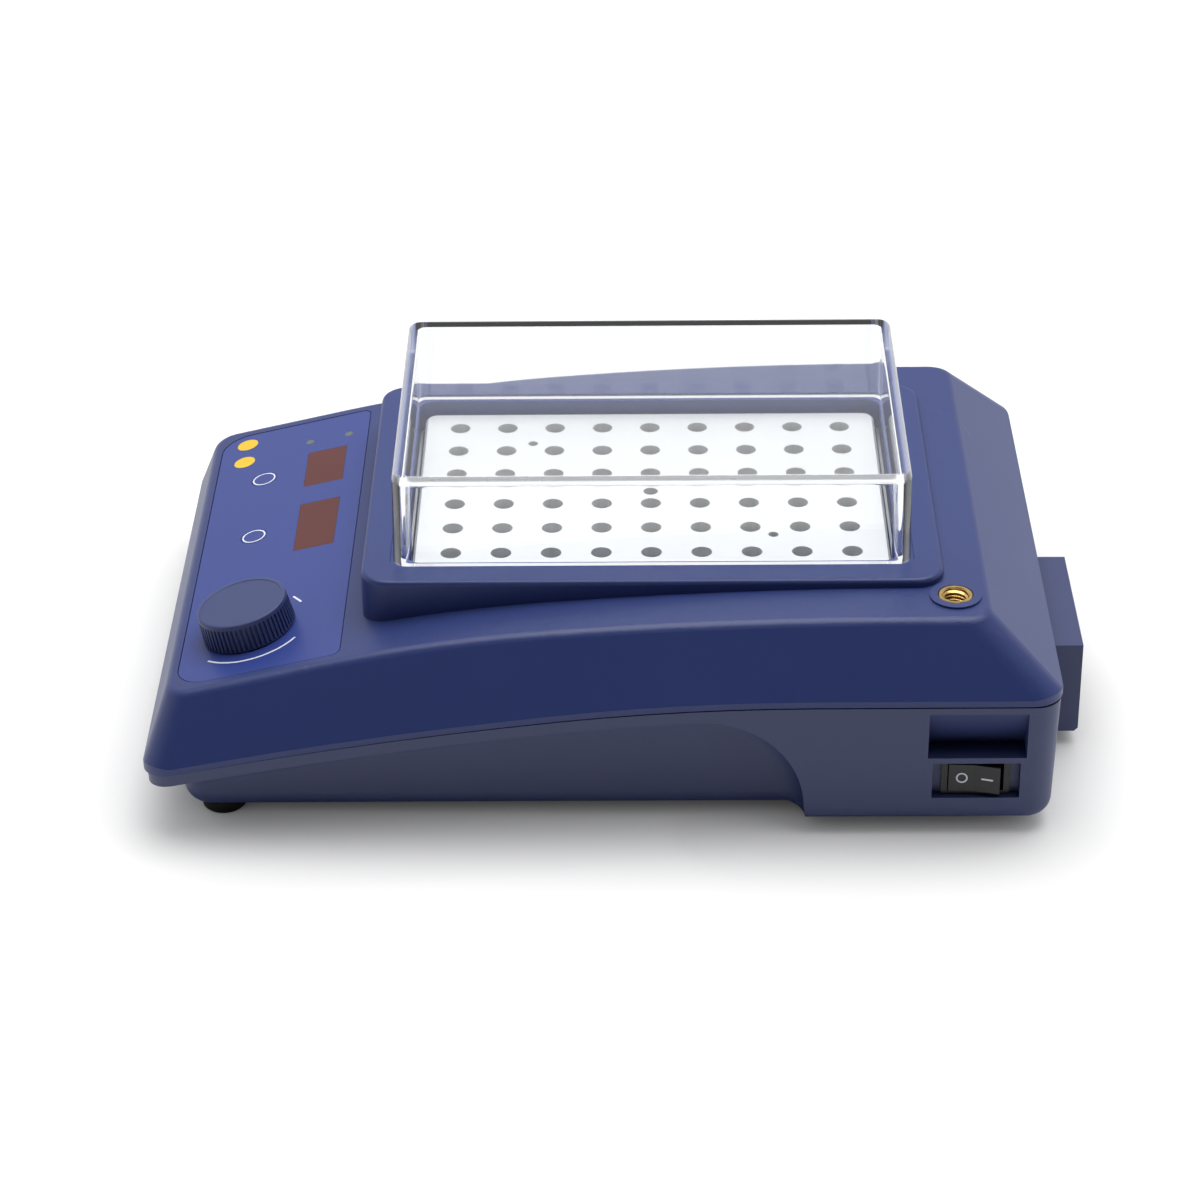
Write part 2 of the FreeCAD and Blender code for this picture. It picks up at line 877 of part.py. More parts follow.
case_bosses = []
case_boss_holes = []
tray_bosses = []
tray_boss_holes = []
for n, (right, rear) in enumerate(QUARTERS, start=1):
    x, y, split = case_foot(right, rear)
    case_bosses.append(cylinder(f"CaseBoss{n}", "boss_radius", str(HIGHEST), x, y, split))
    case_boss_holes.append(
        cylinder(
            f"CaseBossHole{n}", "case_screw_radius + press_gap", "case_screw_grip + joint_bite", x, y,
            split,
        )
    )
    x, y = tray_screw(right, rear)
    tray_bosses.append(
        cylinder(f"TrayBoss{n}", "tray_boss_radius", f"{ledge} + joint_bite - tray_top", x, y, "tray_top")
    )
    tray_boss_holes.append(
        cylinder(f"TrayBossHole{n}", "tray_screw_radius + press_gap", "tray_screw_depth", x, y, "tray_top")
    )
board_bosses = []
board_boss_holes = []
for n, (right, down) in enumerate(BOARD_SCREWS, start=1):
    x = f"{right} * board_screw_side"
    board_bosses.append(
        panel_pin(
            f"BoardBoss{n}", "board_boss_radius", x, down, "-board_down", "-overlay_thickness - joint_bite",
        )
    )
    board_boss_holes.append(
        panel_pin(
            f"BoardBossHole{n}", "board_screw_radius + press_gap", x, down, "-board_down",
            "-overlay_thickness - shell_wall",
        )
    )

shell = cut("CasingShell", fuse("CasingSolid", outer_shell, bezel_round), inner_form, bezel_room)
boss_stock = common("CasingBosses", fuse("CasingBossStock", *case_bosses), outer_shell)
board_boss_stock = fuse("CasingBoardBosses", *board_bosses)
filled = fuse("CasingFilled", shell, boss_stock, skirt, insert_pad, board_boss_stock, *tray_bosses)

windows = [panel_plate("OverlayRecess", "overlay_gap", "cut_overrun", f"-{SINK}")]
for side, (edge, width) in DISPLAYS.items():
    windows.append(
        panel_box(
            side.title() + "LensSeat", f"{edge} - overlay_gap", f"{width} + 2 * overlay_gap",
            "display_down - overlay_gap", "display_depth + 2 * overlay_gap", f"-{LENS_SEAT}", "joint_bite",
        )
    )
    windows.append(
        panel_box(
            side.title() + "Window", f"{edge} + display_lip", f"{width} - 2 * display_lip",
            "display_down + display_lip", "display_depth - 2 * display_lip", f"-{WALL_UNDER}", "joint_bite",
        )
    )
for side, place_text in KEYS.items():
    windows.append(
        panel_pin(
            side.title() + "KeySeat", "key_radius + overlay_gap", place_text, "key_down",
            f"-{SINK} - key_travel - fit_gap", "joint_bite",
        )
    )
    windows.append(
        panel_pin(
            side.title() + "KeyHole", "key_stem_radius + overlay_gap", place_text, "key_down",
            f"-{WALL_UNDER}", "joint_bite",
        )
    )
for order, down in LEDS.items():
    windows.append(
        panel_pin(
            order + "LedHole", "led_radius + press_gap", "led_side", down, f"-{WALL_UNDER}", "joint_bite",
        )
    )
windows.append(
    panel_pin(
        "BushingHole", "bushing_radius + press_gap", "knob_side", "knob_down", f"-{WALL_UNDER}",
        "joint_bite",
    )
)

upper_casing = node("upper_casing", cut(
    "UpperCasing", filled, rebate, aperture, insert_hole, *case_boss_holes, *tray_boss_holes,
    *board_boss_holes, *windows,
))


def turned_at(name, points, x, y, z):
    return place(turned(name, points), x, y, z)


# Brass insert for a support rod

node("threaded_insert", turned_at(
    "ThreadedInsert",
    [
        ("insert_bore", "0"),
        ("insert_radius", "0"),
        ("insert_radius", "insert_length"),
        ("insert_bore + insert_mouth", "insert_length"),
        ("insert_bore", "insert_length - insert_mouth"),
    ],
    "insert_side", "insert_rear", "insert_top - insert_length",
))


# Heating block with its grid of tube wells

block = new_body("HeatingBlock")
block_outline = rectangle(sketch_on(block, "BlockOutline"), "block_width", "block_length")
block_pad = pad(block, "BlockPad", block_outline, "block_height")
block_corners = fillet(block, "BlockCorners", block_pad, "block_radius", is_upright)
chamfer(block, "BlockEdge", block_corners, "block_edge", lambda edge: is_level(edge, size("block_height")))
well_sketch = sketch_on(block, "WellSketch", lift="block_height")
circle(
    well_sketch, "tube_radius", "-tube_pitch * (tube_columns - 1) / 2", "-tube_pitch * (tube_rows - 1) / 2",
)
first_well = pocket(block, "TubeWell", well_sketch, "tube_depth")
doc.recompute()
wells = block.newObject("PartDesign::LinearPattern", "TubeWells")
wells.Originals = [first_well]
wells.Direction = (well_sketch, ["H_Axis"])
wells.Direction2 = (well_sketch, ["V_Axis"])
wells.Mode = "Extent"
wells.Mode2 = "Extent"
bind(
    wells, Length="tube_pitch * (tube_columns - 1)", Occurrences="tube_columns",
    Length2="tube_pitch * (tube_rows - 1)", Occurrences2="tube_rows",
)
block.Tip = wells
pocket(
    block, "LiftingHole", circle(sketch_on(block, "LiftingSketch", lift="block_height"), "lifting_radius"),
    "lifting_depth",
)
probe_sketch = sketch_on(block, "ProbeSketch", lift="block_height")
circle(probe_sketch, "probe_radius", "probe_side", "probe_ahead")
circle(probe_sketch, "probe_radius", "-probe_side", "-probe_ahead")
pocket(block, "ProbeHoles", probe_sketch, "probe_depth")
node("heating_block", place(block, "0", "well_centre", "block_top - block_height"))


# Clear lid

def lid_form(name, inset, height, drop):
    """A slightly tapered box with rounded corners, standing on the lid's foot."""
    body = new_body(name)
    sketch = sketch_on(body, name + "Outline", lift=f"-{drop}")
    rectangle(sketch, f"lid_width - 2 * {inset}", f"lid_length - 2 * {inset}")
    blank = pad(body, name + "Pad", sketch, f"{height} + {drop}")
    blank.setExpression("TaperAngle", link("-lid_taper"))
    corners = fillet(
        body, name + "Corners", blank, f"lid_corner - {inset} / 2", lambda e: e.BoundBox.ZLength > 9,
    )
    fillet(body, name + "Top", corners, f"lid_edge - {inset} / 3", lambda e: e.BoundBox.ZMin > 9)
    return place(body, "0", "well_centre", "bezel_top - rebate_depth + fit_gap")


LID_HEIGHT = "(lid_top - bezel_top + rebate_depth - fit_gap)"
node("lid", cut(
    "Lid", lid_form("LidOuter", "0", LID_HEIGHT, "0"),
    lid_form("LidInner", "lid_wall", f"({LID_HEIGHT} - lid_wall)", "joint_bite"),
))


# Well tray, heater and insulation under the block

TRAY_FLOOR = "(block_top - block_height - fit_gap)"
TRAY_WIDTH = "(block_width + 2 * tray_gap + 2 * tray_wall)"
TRAY_LENGTH = "(block_length + 2 * tray_gap + 2 * tray_wall)"
HEATER_FOOT = f"({TRAY_FLOOR} - tray_wall - heater_thickness)"
PAD_FOOT = f"({HEATER_FOOT} - insulation_thickness)"
CRADLE_ROOM = f"({TRAY_WIDTH} + 2 * fit_gap)"

tray_holes = []
cradle_holes = []
tray_screws = []
for n, (right, rear) in enumerate(QUARTERS, start=1):
    x, y = tray_screw(right, rear)
    under = "tray_top - tray_wall - cradle_wall"
    tray_holes.append(
        cylinder(
            f"TrayHole{n}", "tray_screw_radius + screw_gap", "tray_wall * 3", x, y,
            "tray_top - tray_wall * 2",
        )
    )
    cradle_holes.append(
        cylinder(
            f"CradleHole{n}", "tray_screw_radius + screw_gap", "tray_wall * 4", x, y,
            "tray_top - tray_wall * 3",
        )
    )
    head = cylinder(
        f"TrayScrewHead{n}", "tray_screw_radius * head_ratio", "tray_screw_head", x, y,
        f"{under} - tray_screw_head",
    )
    tray_screws.append(
        fuse(
            f"TrayScrew{n}", head,
            cylinder(f"TrayScrewShank{n}", "tray_screw_radius", "tray_screw_length", x, y, under),
        )
    )
tray_pan = rounded_box(
    "TrayPan", TRAY_WIDTH, TRAY_LENGTH, f"tray_top - {TRAY_FLOOR} + tray_wall", "0", "well_centre",
    f"{TRAY_FLOOR} - tray_wall", "aperture_radius",
)
tray_rim = rounded_box(
    "TrayRim", f"{TRAY_WIDTH} + 2 * tray_flange", f"{TRAY_LENGTH} + 2 * tray_flange", "tray_wall", "0",
    "well_centre", "tray_top - tray_wall", "aperture_radius",
)
tray_room = rounded_box(
    "TrayRoom", f"{TRAY_WIDTH} - 2 * tray_wall", f"{TRAY_LENGTH} - 2 * tray_wall", "block_height", "0",
    "well_centre", TRAY_FLOOR, "block_radius",
)
node("block_tray", cut("BlockTray", fuse("TrayStock", tray_pan, tray_rim), tray_room, *tray_holes))
node("tray_screws", group("TrayScrews", tray_screws))
node("heater_mat", rounded_box(
    "HeaterMat", f"{TRAY_WIDTH} - 2 * heater_margin", f"{TRAY_LENGTH} - 2 * heater_margin",
    "heater_thickness",
    "0", "well_centre", HEATER_FOOT, "aperture_radius",
))
probe_height = f"{HEATER_FOOT} - temperature_probe_radius - fit_gap / 2"
insulation = centred_box(
    "InsulationBlock", TRAY_WIDTH, TRAY_LENGTH, "insulation_thickness", "0", "well_centre", PAD_FOOT,
)
groove = box(
    "ProbeGroove", "temperature_probe_length + 2 * fit_gap", "2 * temperature_probe_radius + 2 * fit_gap",
    "2 * temperature_probe_radius + 2 * fit_gap", "0", "well_centre - temperature_probe_radius - fit_gap",
    f"{HEATER_FOOT} - 2 * temperature_probe_radius - fit_gap",
)
node("insulation_pad", cut("InsulationPad", insulation, groove))
node("temperature_probe", cylinder(
    "TemperatureProbe", "temperature_probe_radius", "temperature_probe_length",
    "fit_gap", "well_centre", probe_height, "X",
))
cradle_rise = f"(tray_top - tray_wall - {PAD_FOOT} + cradle_wall)"
cradle_length = "block_length - cradle_margin"
cradle = centred_box(
    "CradleStock", f"{CRADLE_ROOM} + 2 * cradle_wall", cradle_length, cradle_rise, "0", "well_centre",
    f"{PAD_FOOT} - cradle_wall",
)
cradle_lips = centred_box(
    "CradleLips", f"{CRADLE_ROOM} + 2 * cradle_lip", cradle_length, "cradle_wall", "0", "well_centre",
    "tray_top - tray_wall - cradle_wall",
)
cradle_room = centred_box(
    "CradleRoom", CRADLE_ROOM, "block_length", cradle_rise, "0", "well_centre", PAD_FOOT,
)
node(
    "heater_cradle",
    cut("HeaterCradle", fuse("CradleSheet", cradle, cradle_lips), cradle_room, *cradle_holes),
)
cutout_side = f"{CRADLE_ROOM} / 2 + cradle_wall"
cutout_can = cylinder(
    "CutoutCan", "cutout_radius", "cutout_depth", cutout_side, "well_centre",
    "block_top - block_height / 2", "X",
)
cutout_tabs = [
    box(
        f"CutoutTab{n}", "cutout_tab_length", "cutout_tab_width", "cutout_tab_thickness",
        f"{cutout_side} + cutout_depth",
        f"well_centre - cutout_tab_width / 2 + {turn} * cutout_tab_spread",
        f"block_top - block_height / 2 + {turn} * cutout_tab_spread",
    )
    for n, turn in enumerate((-1, 1), start=1)
]
node("thermal_cutout", fuse("ThermalCutout", cutout_can, *cutout_tabs))


# Control board with displays, keys and lamps

board = panel_box(
    "BoardBlank", "-board_width / 2", "board_width", "board_start", "board_length",
    "-board_down - board_thickness", "-board_down",
)
board_holes = []
board_screws = []
for n, (right, down) in enumerate(BOARD_SCREWS, start=1):
    x = f"{right} * board_screw_side"
    back = "-board_down - board_thickness"
    board_holes.append(
        panel_pin(
            f"BoardHole{n}", "board_screw_radius + screw_gap", x, down, f"{back} - joint_bite",
            "-board_down + joint_bite",
        )
    )
    head = panel_pin(
        f"BoardScrewHead{n}", "board_screw_radius * head_ratio", x, down, f"{back} - board_screw_head",
        back,
    )
    shank = panel_pin(
        f"BoardScrewShank{n}", "board_screw_radius", x, down, f"{back} - board_screw_head / 2",
        "-board_down + board_screw_grip",
    )
    board_screws.append(fuse(f"BoardScrew{n}", head, shank))
node("control_board", cut("ControlBoard", board, *board_holes))
node("board_screws", group("BoardScrews", board_screws))

overlay_cuts = []
for side, (edge, width) in DISPLAYS.items():
    name = side.title()
    lens = panel_box(
        name + "Lens", edge, width, "display_down", "display_depth", f"-{LENS_SEAT}", "-overlay_sink",
    )
    node(side + "_display_lens", lens)
    module = panel_box(
        name + "Module", f"{edge} + module_inset", f"{width} - 2 * module_inset",
        "display_down + module_inset", "display_depth - 2 * module_inset", "-board_down",
        "-shell_wall - module_drop",
    )
    node(side + "_display_module", module)
    overlay_cuts.append(
        panel_box(
            name + "OverlayWindow", f"{edge} - running_gap", f"{width} + 2 * running_gap",
            "display_down - running_gap", "display_depth + 2 * running_gap", "-2 * joint_bite",
            "joint_bite",
        )
    )
for side, place_text in KEYS.items():
    name = side.title()
    cap = panel_pin(name + "KeyCap", "key_radius", place_text, "key_down", f"-{SINK}", "-overlay_sink")
    stem = panel_pin(
        name + "KeyStem", "key_stem_radius", place_text, "key_down",
        "key_plunger_top + key_travel + screw_gap / 2", f"-{SINK} + screw_gap",
    )
    node(side + "_key", fuse(name + "Key", cap, stem))
    overlay_cuts.append(
        panel_pin(
            name + "KeyOpening", "key_radius + overlay_gap / 2", place_text, "key_down", "-2 * joint_bite",
            "joint_bite",
        )
    )
key_switches = []
for side, place_text in KEYS.items():
    name = side.title()
    half = "key_switch_width / 2"
    can = panel_box(
        name + "SwitchCan", f"{place_text} - {half}", "key_switch_width", f"key_down - {half}",
        "key_switch_width", "-board_down", "-board_down + key_switch_height",
    )
    plunger = panel_pin(
        name + "SwitchPlunger", "key_plunger_radius", place_text, "key_down", "-board_down + joint_bite",
        "key_plunger_top",
    )
    key_switches.append(fuse(name + "KeySwitch", can, plunger))
node("key_switches", group("KeySwitches", key_switches))
lamps = []
for order, down in LEDS.items():
    lamp = panel_pin(order + "Lamp", "led_radius", "led_side", down, "-board_down", "-overlay_sink")
    collar = panel_pin(
        order + "LampCollar", "led_radius * 1.2", "led_side", down, "-board_down",
        "-board_down + joint_bite",
    )
    lamps.append(fuse(order + "StatusLamp", lamp, collar))
    overlay_cuts.append(
        panel_pin(
            order + "LampOpening", "led_radius + press_gap", "led_side", down, "-2 * joint_bite",
            "joint_bite",
        )
    )
node("status_lamps", group("StatusLamps", lamps))
overlay_cuts.append(
    panel_pin("KnobOpening", "nut_radius * 1.3", "knob_side", "knob_down", "-2 * joint_bite", "joint_bite")
)
node(
    "panel_overlay",
    cut("PanelOverlay", panel_plate("OverlayPlate", "0", "overlay_thickness", f"-{SINK}"), *overlay_cuts),
)


# Rotary encoder and its knob

half_encoder = "encoder_width / 2"
encoder_top = "(-board_down + encoder_height)"
encoder_can = panel_box(
    "EncoderCan", f"knob_side - {half_encoder}", "encoder_width", f"knob_down - {half_encoder}",
    "encoder_width", "-board_down", encoder_top,
)
bushing_top = f"(nut_height - {SINK} + joint_bite)"
bushing = panel_pin(
    "EncoderBushing", "bushing_radius", "knob_side", "knob_down", f"{encoder_top} - joint_bite",
    bushing_top,
)
encoder_bore = panel_pin(
    "EncoderBore", "shaft_radius + running_gap", "knob_side", "knob_down", "-board_down + 2", "9",
)
node("encoder_body", cut("EncoderBody", fuse("EncoderStock", encoder_can, bushing), encoder_bore))
nut_prism = bind(
    doc.addObject("Part::Prism", "EncoderNutPrism"), Circumradius="nut_radius", Height="nut_height",
)
nut_prism.Polygon = 6
on_panel(nut_prism, "knob_side", "knob_down", f"-{SINK}")
node(
    "encoder_nut",
    cut(
        "EncoderNut", nut_prism,
        panel_pin("EncoderNutBore", "bushing_radius + press_gap", "knob_side", "knob_down", "-3", "4"),
    ),
)
knob_foot = "(knob_lift - overlay_sink)"
knob_top = f"({knob_foot} + knob_height)"
shaft_foot = "(-board_down + 2 + fit_gap)"
node(
    "encoder_shaft",
    panel_pin(
        "EncoderShaft", "shaft_radius", "knob_side", "knob_down", shaft_foot,
        f"{knob_top} - knob_roof + joint_bite - fit_gap",
    ),
)

knob = turned("Knob", [
    ("0", "knob_height"),
    ("knob_radius - knob_edge", "knob_height"),
    ("knob_radius", "knob_height - knob_edge"),
    ("knob_radius + knob_flare", "0"),
    ("knob_radius - knob_rim", "0"),
    ("knob_radius - knob_rim", "knob_height - knob_roof"),
    ("knob_hub_radius", "knob_height - knob_roof"),
    ("knob_hub_radius", "knob_hub_foot"),
    ("shaft_radius + press_gap", "knob_hub_foot"),
    ("shaft_radius + press_gap", "knob_height - knob_roof + joint_bite"),
    ("0", "knob_height - knob_roof + joint_bite"),
])
flute_sketch = sketch_on(knob, "FluteSketch")
circle(flute_sketch, "knob_rib_radius", "knob_radius + knob_flare")
flute = pocket(knob, "Flute", flute_sketch, "knob_height - knob_edge * 1.5")
flute.Reversed = True
doc.recompute()
flutes = knob.newObject("PartDesign::PolarPattern", "Flutes")
flutes.Originals = [flute]
flutes.Axis = (flute_sketch, ["N_Axis"])
flutes.Angle = 360
bind(flutes, Occurrences="knob_ribs")
knob.Tip = flutes
node("knob", on_panel(knob, "knob_side", "knob_down", knob_foot))


# Lower casing: a tub under the front and a flush flank at the rear, below the parting line

def flank_section(name):
    """Side view of everything over the underside of the lip and behind the arch."""
    spots = parting_line(size("lip_height") + size("parting_gap") / 2)
    _, (end, level), _, turn, nose_middle, nose, front = spots
    radius, bend, start = size("parting_radius"), size("arch_radius"), size("arch_start")

    def lip_at(y):
        return y, level - radius + math.sqrt(radius**2 - (end - y) ** 2)

    begin = math.asin((end - start) / radius)
    finish = -math.radians(size("arch_angle"))
    centre = (start + bend * math.sin(begin), lip_at(start)[1] - bend * math.cos(begin))

    def arch_at(angle):
        return centre[0] - bend * math.sin(angle), centre[1] + bend * math.cos(angle)

    def spot(pair):
        return Vector(-REACH, *pair)

    arch_end = arch_at(finish)
    toe = (arch_end[0] + (arch_end[1] - LOWEST) / math.tan(-finish), LOWEST)
    corners = [toe, (spots[0][0], LOWEST), (spots[0][0], HIGHEST), (front[0], HIGHEST), front, nose]
    edges = [
        Part.Arc(spot(nose), spot(nose_middle), spot(turn)),
        Part.Arc(spot(turn), spot(lip_at((turn[0] + start) / 2)), spot(lip_at(start))),
        Part.Arc(spot(lip_at(start)), spot(arch_at((begin + finish) / 2)), spot(arch_end)),
        Part.LineSegment(spot(arch_end), spot(toe)),
    ]
    edges += [Part.LineSegment(spot(a), spot(b)) for a, b in zip(corners, corners[1:])]
    item = doc.addObject("Part::Feature", name)
    item.Shape = Part.Wire([edge.toShape() for edge in edges])
    return item


def is_cove(edge):
    """An edge of the inside corner between the tub and the lip that overhangs it."""
    bounds = edge.BoundBox
    on_tub = max(bounds.XMax, -bounds.XMin) < size("casing_width") / 2 - size("tub_inset") + 1
    over_foot = bounds.ZMin > size("foot_height") + size("tub_foot_radius")
    ahead = bounds.YMin < size("room_split") - 1
    return on_tub and over_foot and ahead and max(bounds.XLength, bounds.YLength) > 4


CASING_FRONT = "(-overall_length / 2)"
CASING_REAR = "(overall_length / 2 - inlet_box_depth)"
CASING_LENGTH = f"({CASING_REAR} - {CASING_FRONT})"
CASING_MIDDLE = f"(({CASING_REAR} + {CASING_FRONT}) / 2)"
FLANK_SIDE = "(casing_width / 2 - rear_flush)"
FLOOR = "(foot_height + floor_thickness)"

under_parting = below("UnderParting", parting_line(size("parting_gap") / 2))
lip_slab = common("LipSlab", across("FlankRegion", flank_section("FlankSection")), under_parting)
tub_length = f"(tub_end - {CASING_FRONT} - tub_inset)"
tub_block = rounded_box(
    "TubBlock", "casing_width - 2 * tub_inset", tub_length, "parting_height",
    "0", f"tub_end - {tub_length} / 2", "foot_height", "tub_radius",
)
tub_foot = round_edges(
    "TubFoot", tub_block, size("tub_foot_radius"), lambda edge: is_level(edge, size("foot_height")),
)
tub = common("TubTrimmed", tub_foot, under_parting)
flared_tub = round_edges("Cove", fuse("LipAndTub", lip_slab, tub), size("cove_radius"), is_cove)

flank = new_body("Flank")
flank_outline = sketch_on(flank, "FlankOutline")
rectangle(flank_outline, f"2 * {FLANK_SIDE}", f"{CASING_LENGTH} - 2 * rear_flush")
flank_pad = pad(flank, "FlankPad", flank_outline, "parting_height")
bind(flank_pad, TaperAngle="rear_draft")
flank_corners = fillet(
    flank, "FlankCorners", flank_pad, "corner_radius - rear_flush", lambda edge: edge.BoundBox.ZLength > 9,
)
fillet(flank, "FlankFoot", flank_corners, "rear_foot_radius", lambda edge: is_level(edge, 0))
place(flank, "0", CASING_MIDDLE, "foot_height")
hull = common("LowerHull", flank, flared_tub)

front_room_start = f"({CASING_FRONT} + tub_inset + shell_wall)"
front_room_length = f"(room_split + 2 * tub_radius - {front_room_start})"
front_room = rounded_box(
    "FrontRoom", "casing_width - 2 * (tub_inset + shell_wall)", front_room_length, "parting_height",
    "0", f"{front_room_start} + {front_room_length} / 2", FLOOR, "tub_foot_radius",
)
rear_room_length = f"({CASING_REAR} - rear_flush - rear_wall - room_split)"
rear_room = rounded_box(
    "RearRoom", f"2 * ({FLANK_SIDE} - rear_wall)", rear_room_length, "parting_height",
    "0", f"room_split + {rear_room_length} / 2", FLOOR, "tub_foot_radius",
)
room_step = centred_box(
    "RoomStep", f"2 * ({FLANK_SIDE} - rear_wall)", "2 * (room_split - room_step)", "parting_height",
    "0", "room_split", "room_step_floor",
)
lower_shell = cut("LowerShell", hull, front_room, rear_room, room_step)

tongue_outer = rounded_box(
    "TongueOuter", "casing_width - 2 * tongue_inset", f"{CASING_LENGTH} - 2 * tongue_inset", "bezel_top",
    "0", CASING_MIDDLE, "foot_height", "tub_foot_radius",
)
tongue_inner = rounded_box(
    "TongueInner", "casing_width - 2 * (tongue_inset + tongue_width)",
    f"{CASING_LENGTH} - 2 * (tongue_inset + tongue_width)", "bezel_top", "0", CASING_MIDDLE, "foot_height",
    "tub_foot_radius",
)
tongue = common(
    "Tongue", cut("TongueRing", tongue_outer, tongue_inner),
    below("TongueTop", parting_line(-size("tongue_rise"))),
    above("TongueFoot", parting_line(size("tongue_root"))),
)

feet_pads = []
lower_bosses = []
lower_boss_holes = []
feet = []
case_screws = []
for n, (right, rear) in enumerate(QUARTERS, start=1):
    x, y, split = case_foot(right, rear)
    feet_pads.append(
        cylinder(f"FootPad{n}", "foot_radius", "floor_thickness + tub_foot_radius / 2", x, y, "foot_height")
    )
    lower_bosses.append(
        cylinder(f"LowerBoss{n}", "boss_radius", f"{split} - foot_height", x, y, "foot_height")
    )
    lower_boss_holes.append(
        cylinder(f"LowerBossHole{n}", "case_screw_radius + screw_gap", "bezel_top", x, y, "0")
    )
    feet.append(turned_at(
        f"Foot{n}",
        [
            ("foot_recess_radius", "0"),
            ("foot_tread_radius", "0"),
            ("foot_radius", "foot_tread"),
            ("foot_radius", "foot_height"),
            ("case_screw_radius + screw_gap", "foot_height"),
            ("case_screw_radius + screw_gap", "foot_recess"),
            ("foot_recess_radius", "foot_recess"),
        ],
        x, y, "0",
    ))
    case_screws.append(turned_at(
        f"CaseScrew{n}",
        [
            ("0", "foot_recess - case_screw_head_height"),
            ("case_screw_head", "foot_recess - case_screw_head_height"),
            ("case_screw_head", "foot_recess"),
            ("case_screw_radius", "foot_recess"),
            ("case_screw_radius", f"{split} + case_screw_grip"),
            ("0", f"{split} + case_screw_grip"),
        ],
        x, y, "0",
    ))

BOARD_FOOT = f"({FLOOR} + power_board_rise)"
POWER_SCREWS = [
    (f"{right} * power_screw_side", f"power_board_middle + {rear} * power_screw_ahead")
    for right, rear in QUARTERS
]
standoffs = []
standoff_holes = []
for n, (x, y) in enumerate(POWER_SCREWS, start=1):
    standoffs.append(
        cylinder(
            f"Standoff{n}", "standoff_radius", f"{BOARD_FOOT} - foot_height - joint_bite", x, y,
            "foot_height + joint_bite",
        )
    )
    standoff_holes.append(
        cylinder(f"StandoffHole{n}", "board_screw_radius + press_gap", "power_board_rise", x, y, FLOOR)
    )

PLATE_SIDE = f"({FLANK_SIDE} - switch_frame - switch_sink)"
SCOOP_SIDE = f"({FLANK_SIDE} - switch_scoop_depth)"
HOOD_TOP = "(switch_opening_foot + switch_opening_height + switch_hood)"
BAY_FOOT = "(switch_opening_foot - switch_bay_wall)"
bay_block = box(
    "SwitchBayBlock", f"casing_width / 2 - {SCOOP_SIDE} + switch_bay_wall",
    "scoop_length + 2 * switch_bay_wall",
    f"parting_height - {BAY_FOOT}", f"{SCOOP_SIDE} - switch_bay_wall",
    "switch_centre - scoop_length / 2 - switch_bay_wall", BAY_FOOT,
)
scoop = new_body("SwitchScoop")
scoop_side = outline(sketch_on(scoop, "ScoopSide", "XZ_Plane"), [
    (SCOOP_SIDE, HOOD_TOP),
    ("casing_width / 2 + joint_bite", HOOD_TOP),
    ("casing_width / 2 + joint_bite", "parting_height"),
])
pad(scoop, "ScoopPad", scoop_side, "scoop_length")
place(scoop, "0", "switch_centre + scoop_length / 2", "0")


def switch_box(name, length, height, inner, outer):
    """A block centred on the power switch, between two distances from the middle of the instrument."""
    return box(
        name, f"{outer} - ({inner})", length, height,
        inner, f"switch_centre - ({length}) / 2", f"switch_height - ({height}) / 2",
    )


switch_window = switch_box(
    "SwitchWindow", "switch_opening_length", "switch_opening_height", PLATE_SIDE,
    "casing_width / 2 + joint_bite",
)
switch_hole = switch_box(
    "SwitchHole", "switch_body_length + 2 * press_gap", "switch_body_height + 2 * press_gap",
    f"{SCOOP_SIDE} - 2 * switch_bay_wall", f"{PLATE_SIDE} + joint_bite",
)

INLET_MIDDLE = "((inlet_box_top + inlet_box_foot) / 2)"
FLANGE_SEAT = "(overall_length / 2 - inlet_flange_thickness)"


def inlet_box(name, width, height, front, rear, lift="0"):
    """A block on the axis of the mains inlet, between two places along the casing."""
    return box(
        name, width, f"{rear} - ({front})", height,
        f"inlet_side - ({width}) / 2", front, f"{INLET_MIDDLE} + {lift} - ({height}) / 2",
    )


def inlet_screw_pins(name, radius, front, rear):
    return [
        cylinder(
            f"{name}{n}", radius, f"{rear} - ({front})", f"inlet_side + {side} * inlet_pitch / 2", front,
            INLET_MIDDLE, "Y",
        )
        for n, side in enumerate((-1, 1), start=1)
    ]


inlet_pad = inlet_box(
    "InletPad", "inlet_box_width", "inlet_box_top - inlet_box_foot",
    f"{CASING_REAR} - rear_flush - rear_wall", CASING_REAR,
)
inlet_hole = inlet_box(
    "InletHole", "inlet_body_width + 2 * fit_gap", "inlet_body_height + 2 * fit_gap",
    "rear_foot_behind", "overall_length",
)
inlet_pilots = inlet_screw_pins(
    "InletPilot", "inlet_screw_radius + press_gap", "rear_foot_behind", "overall_length",
)
lower_stock = fuse(
    "LowerStock", lower_shell, tongue, common("SwitchBay", bay_block, hull), inlet_pad,
    *feet_pads, *lower_bosses, *standoffs,
)
node("lower_casing", cut(
    "LowerCasing", lower_stock, scoop, switch_window, switch_hole, inlet_hole,
    *inlet_pilots, *lower_boss_holes, *standoff_holes,
))
node("feet", group("Feet", feet))
node("case_screws", group("CaseScrews", case_screws))


# Power switch: bezel and body, terminals, and the rocker tilted to OFF

BEZEL_SIDE = f"({PLATE_SIDE} + switch_bezel_thickness)"
PIVOT_SIDE = f"({BEZEL_SIDE} - rocker_pivot_sink)"
BODY_END = f"({PLATE_SIDE} - switch_body_depth)"


def switch_axle(name, radius, length):
    return cylinder(name, radius, length, PIVOT_SIDE, "switch_centre", f"switch_height - ({length}) / 2")


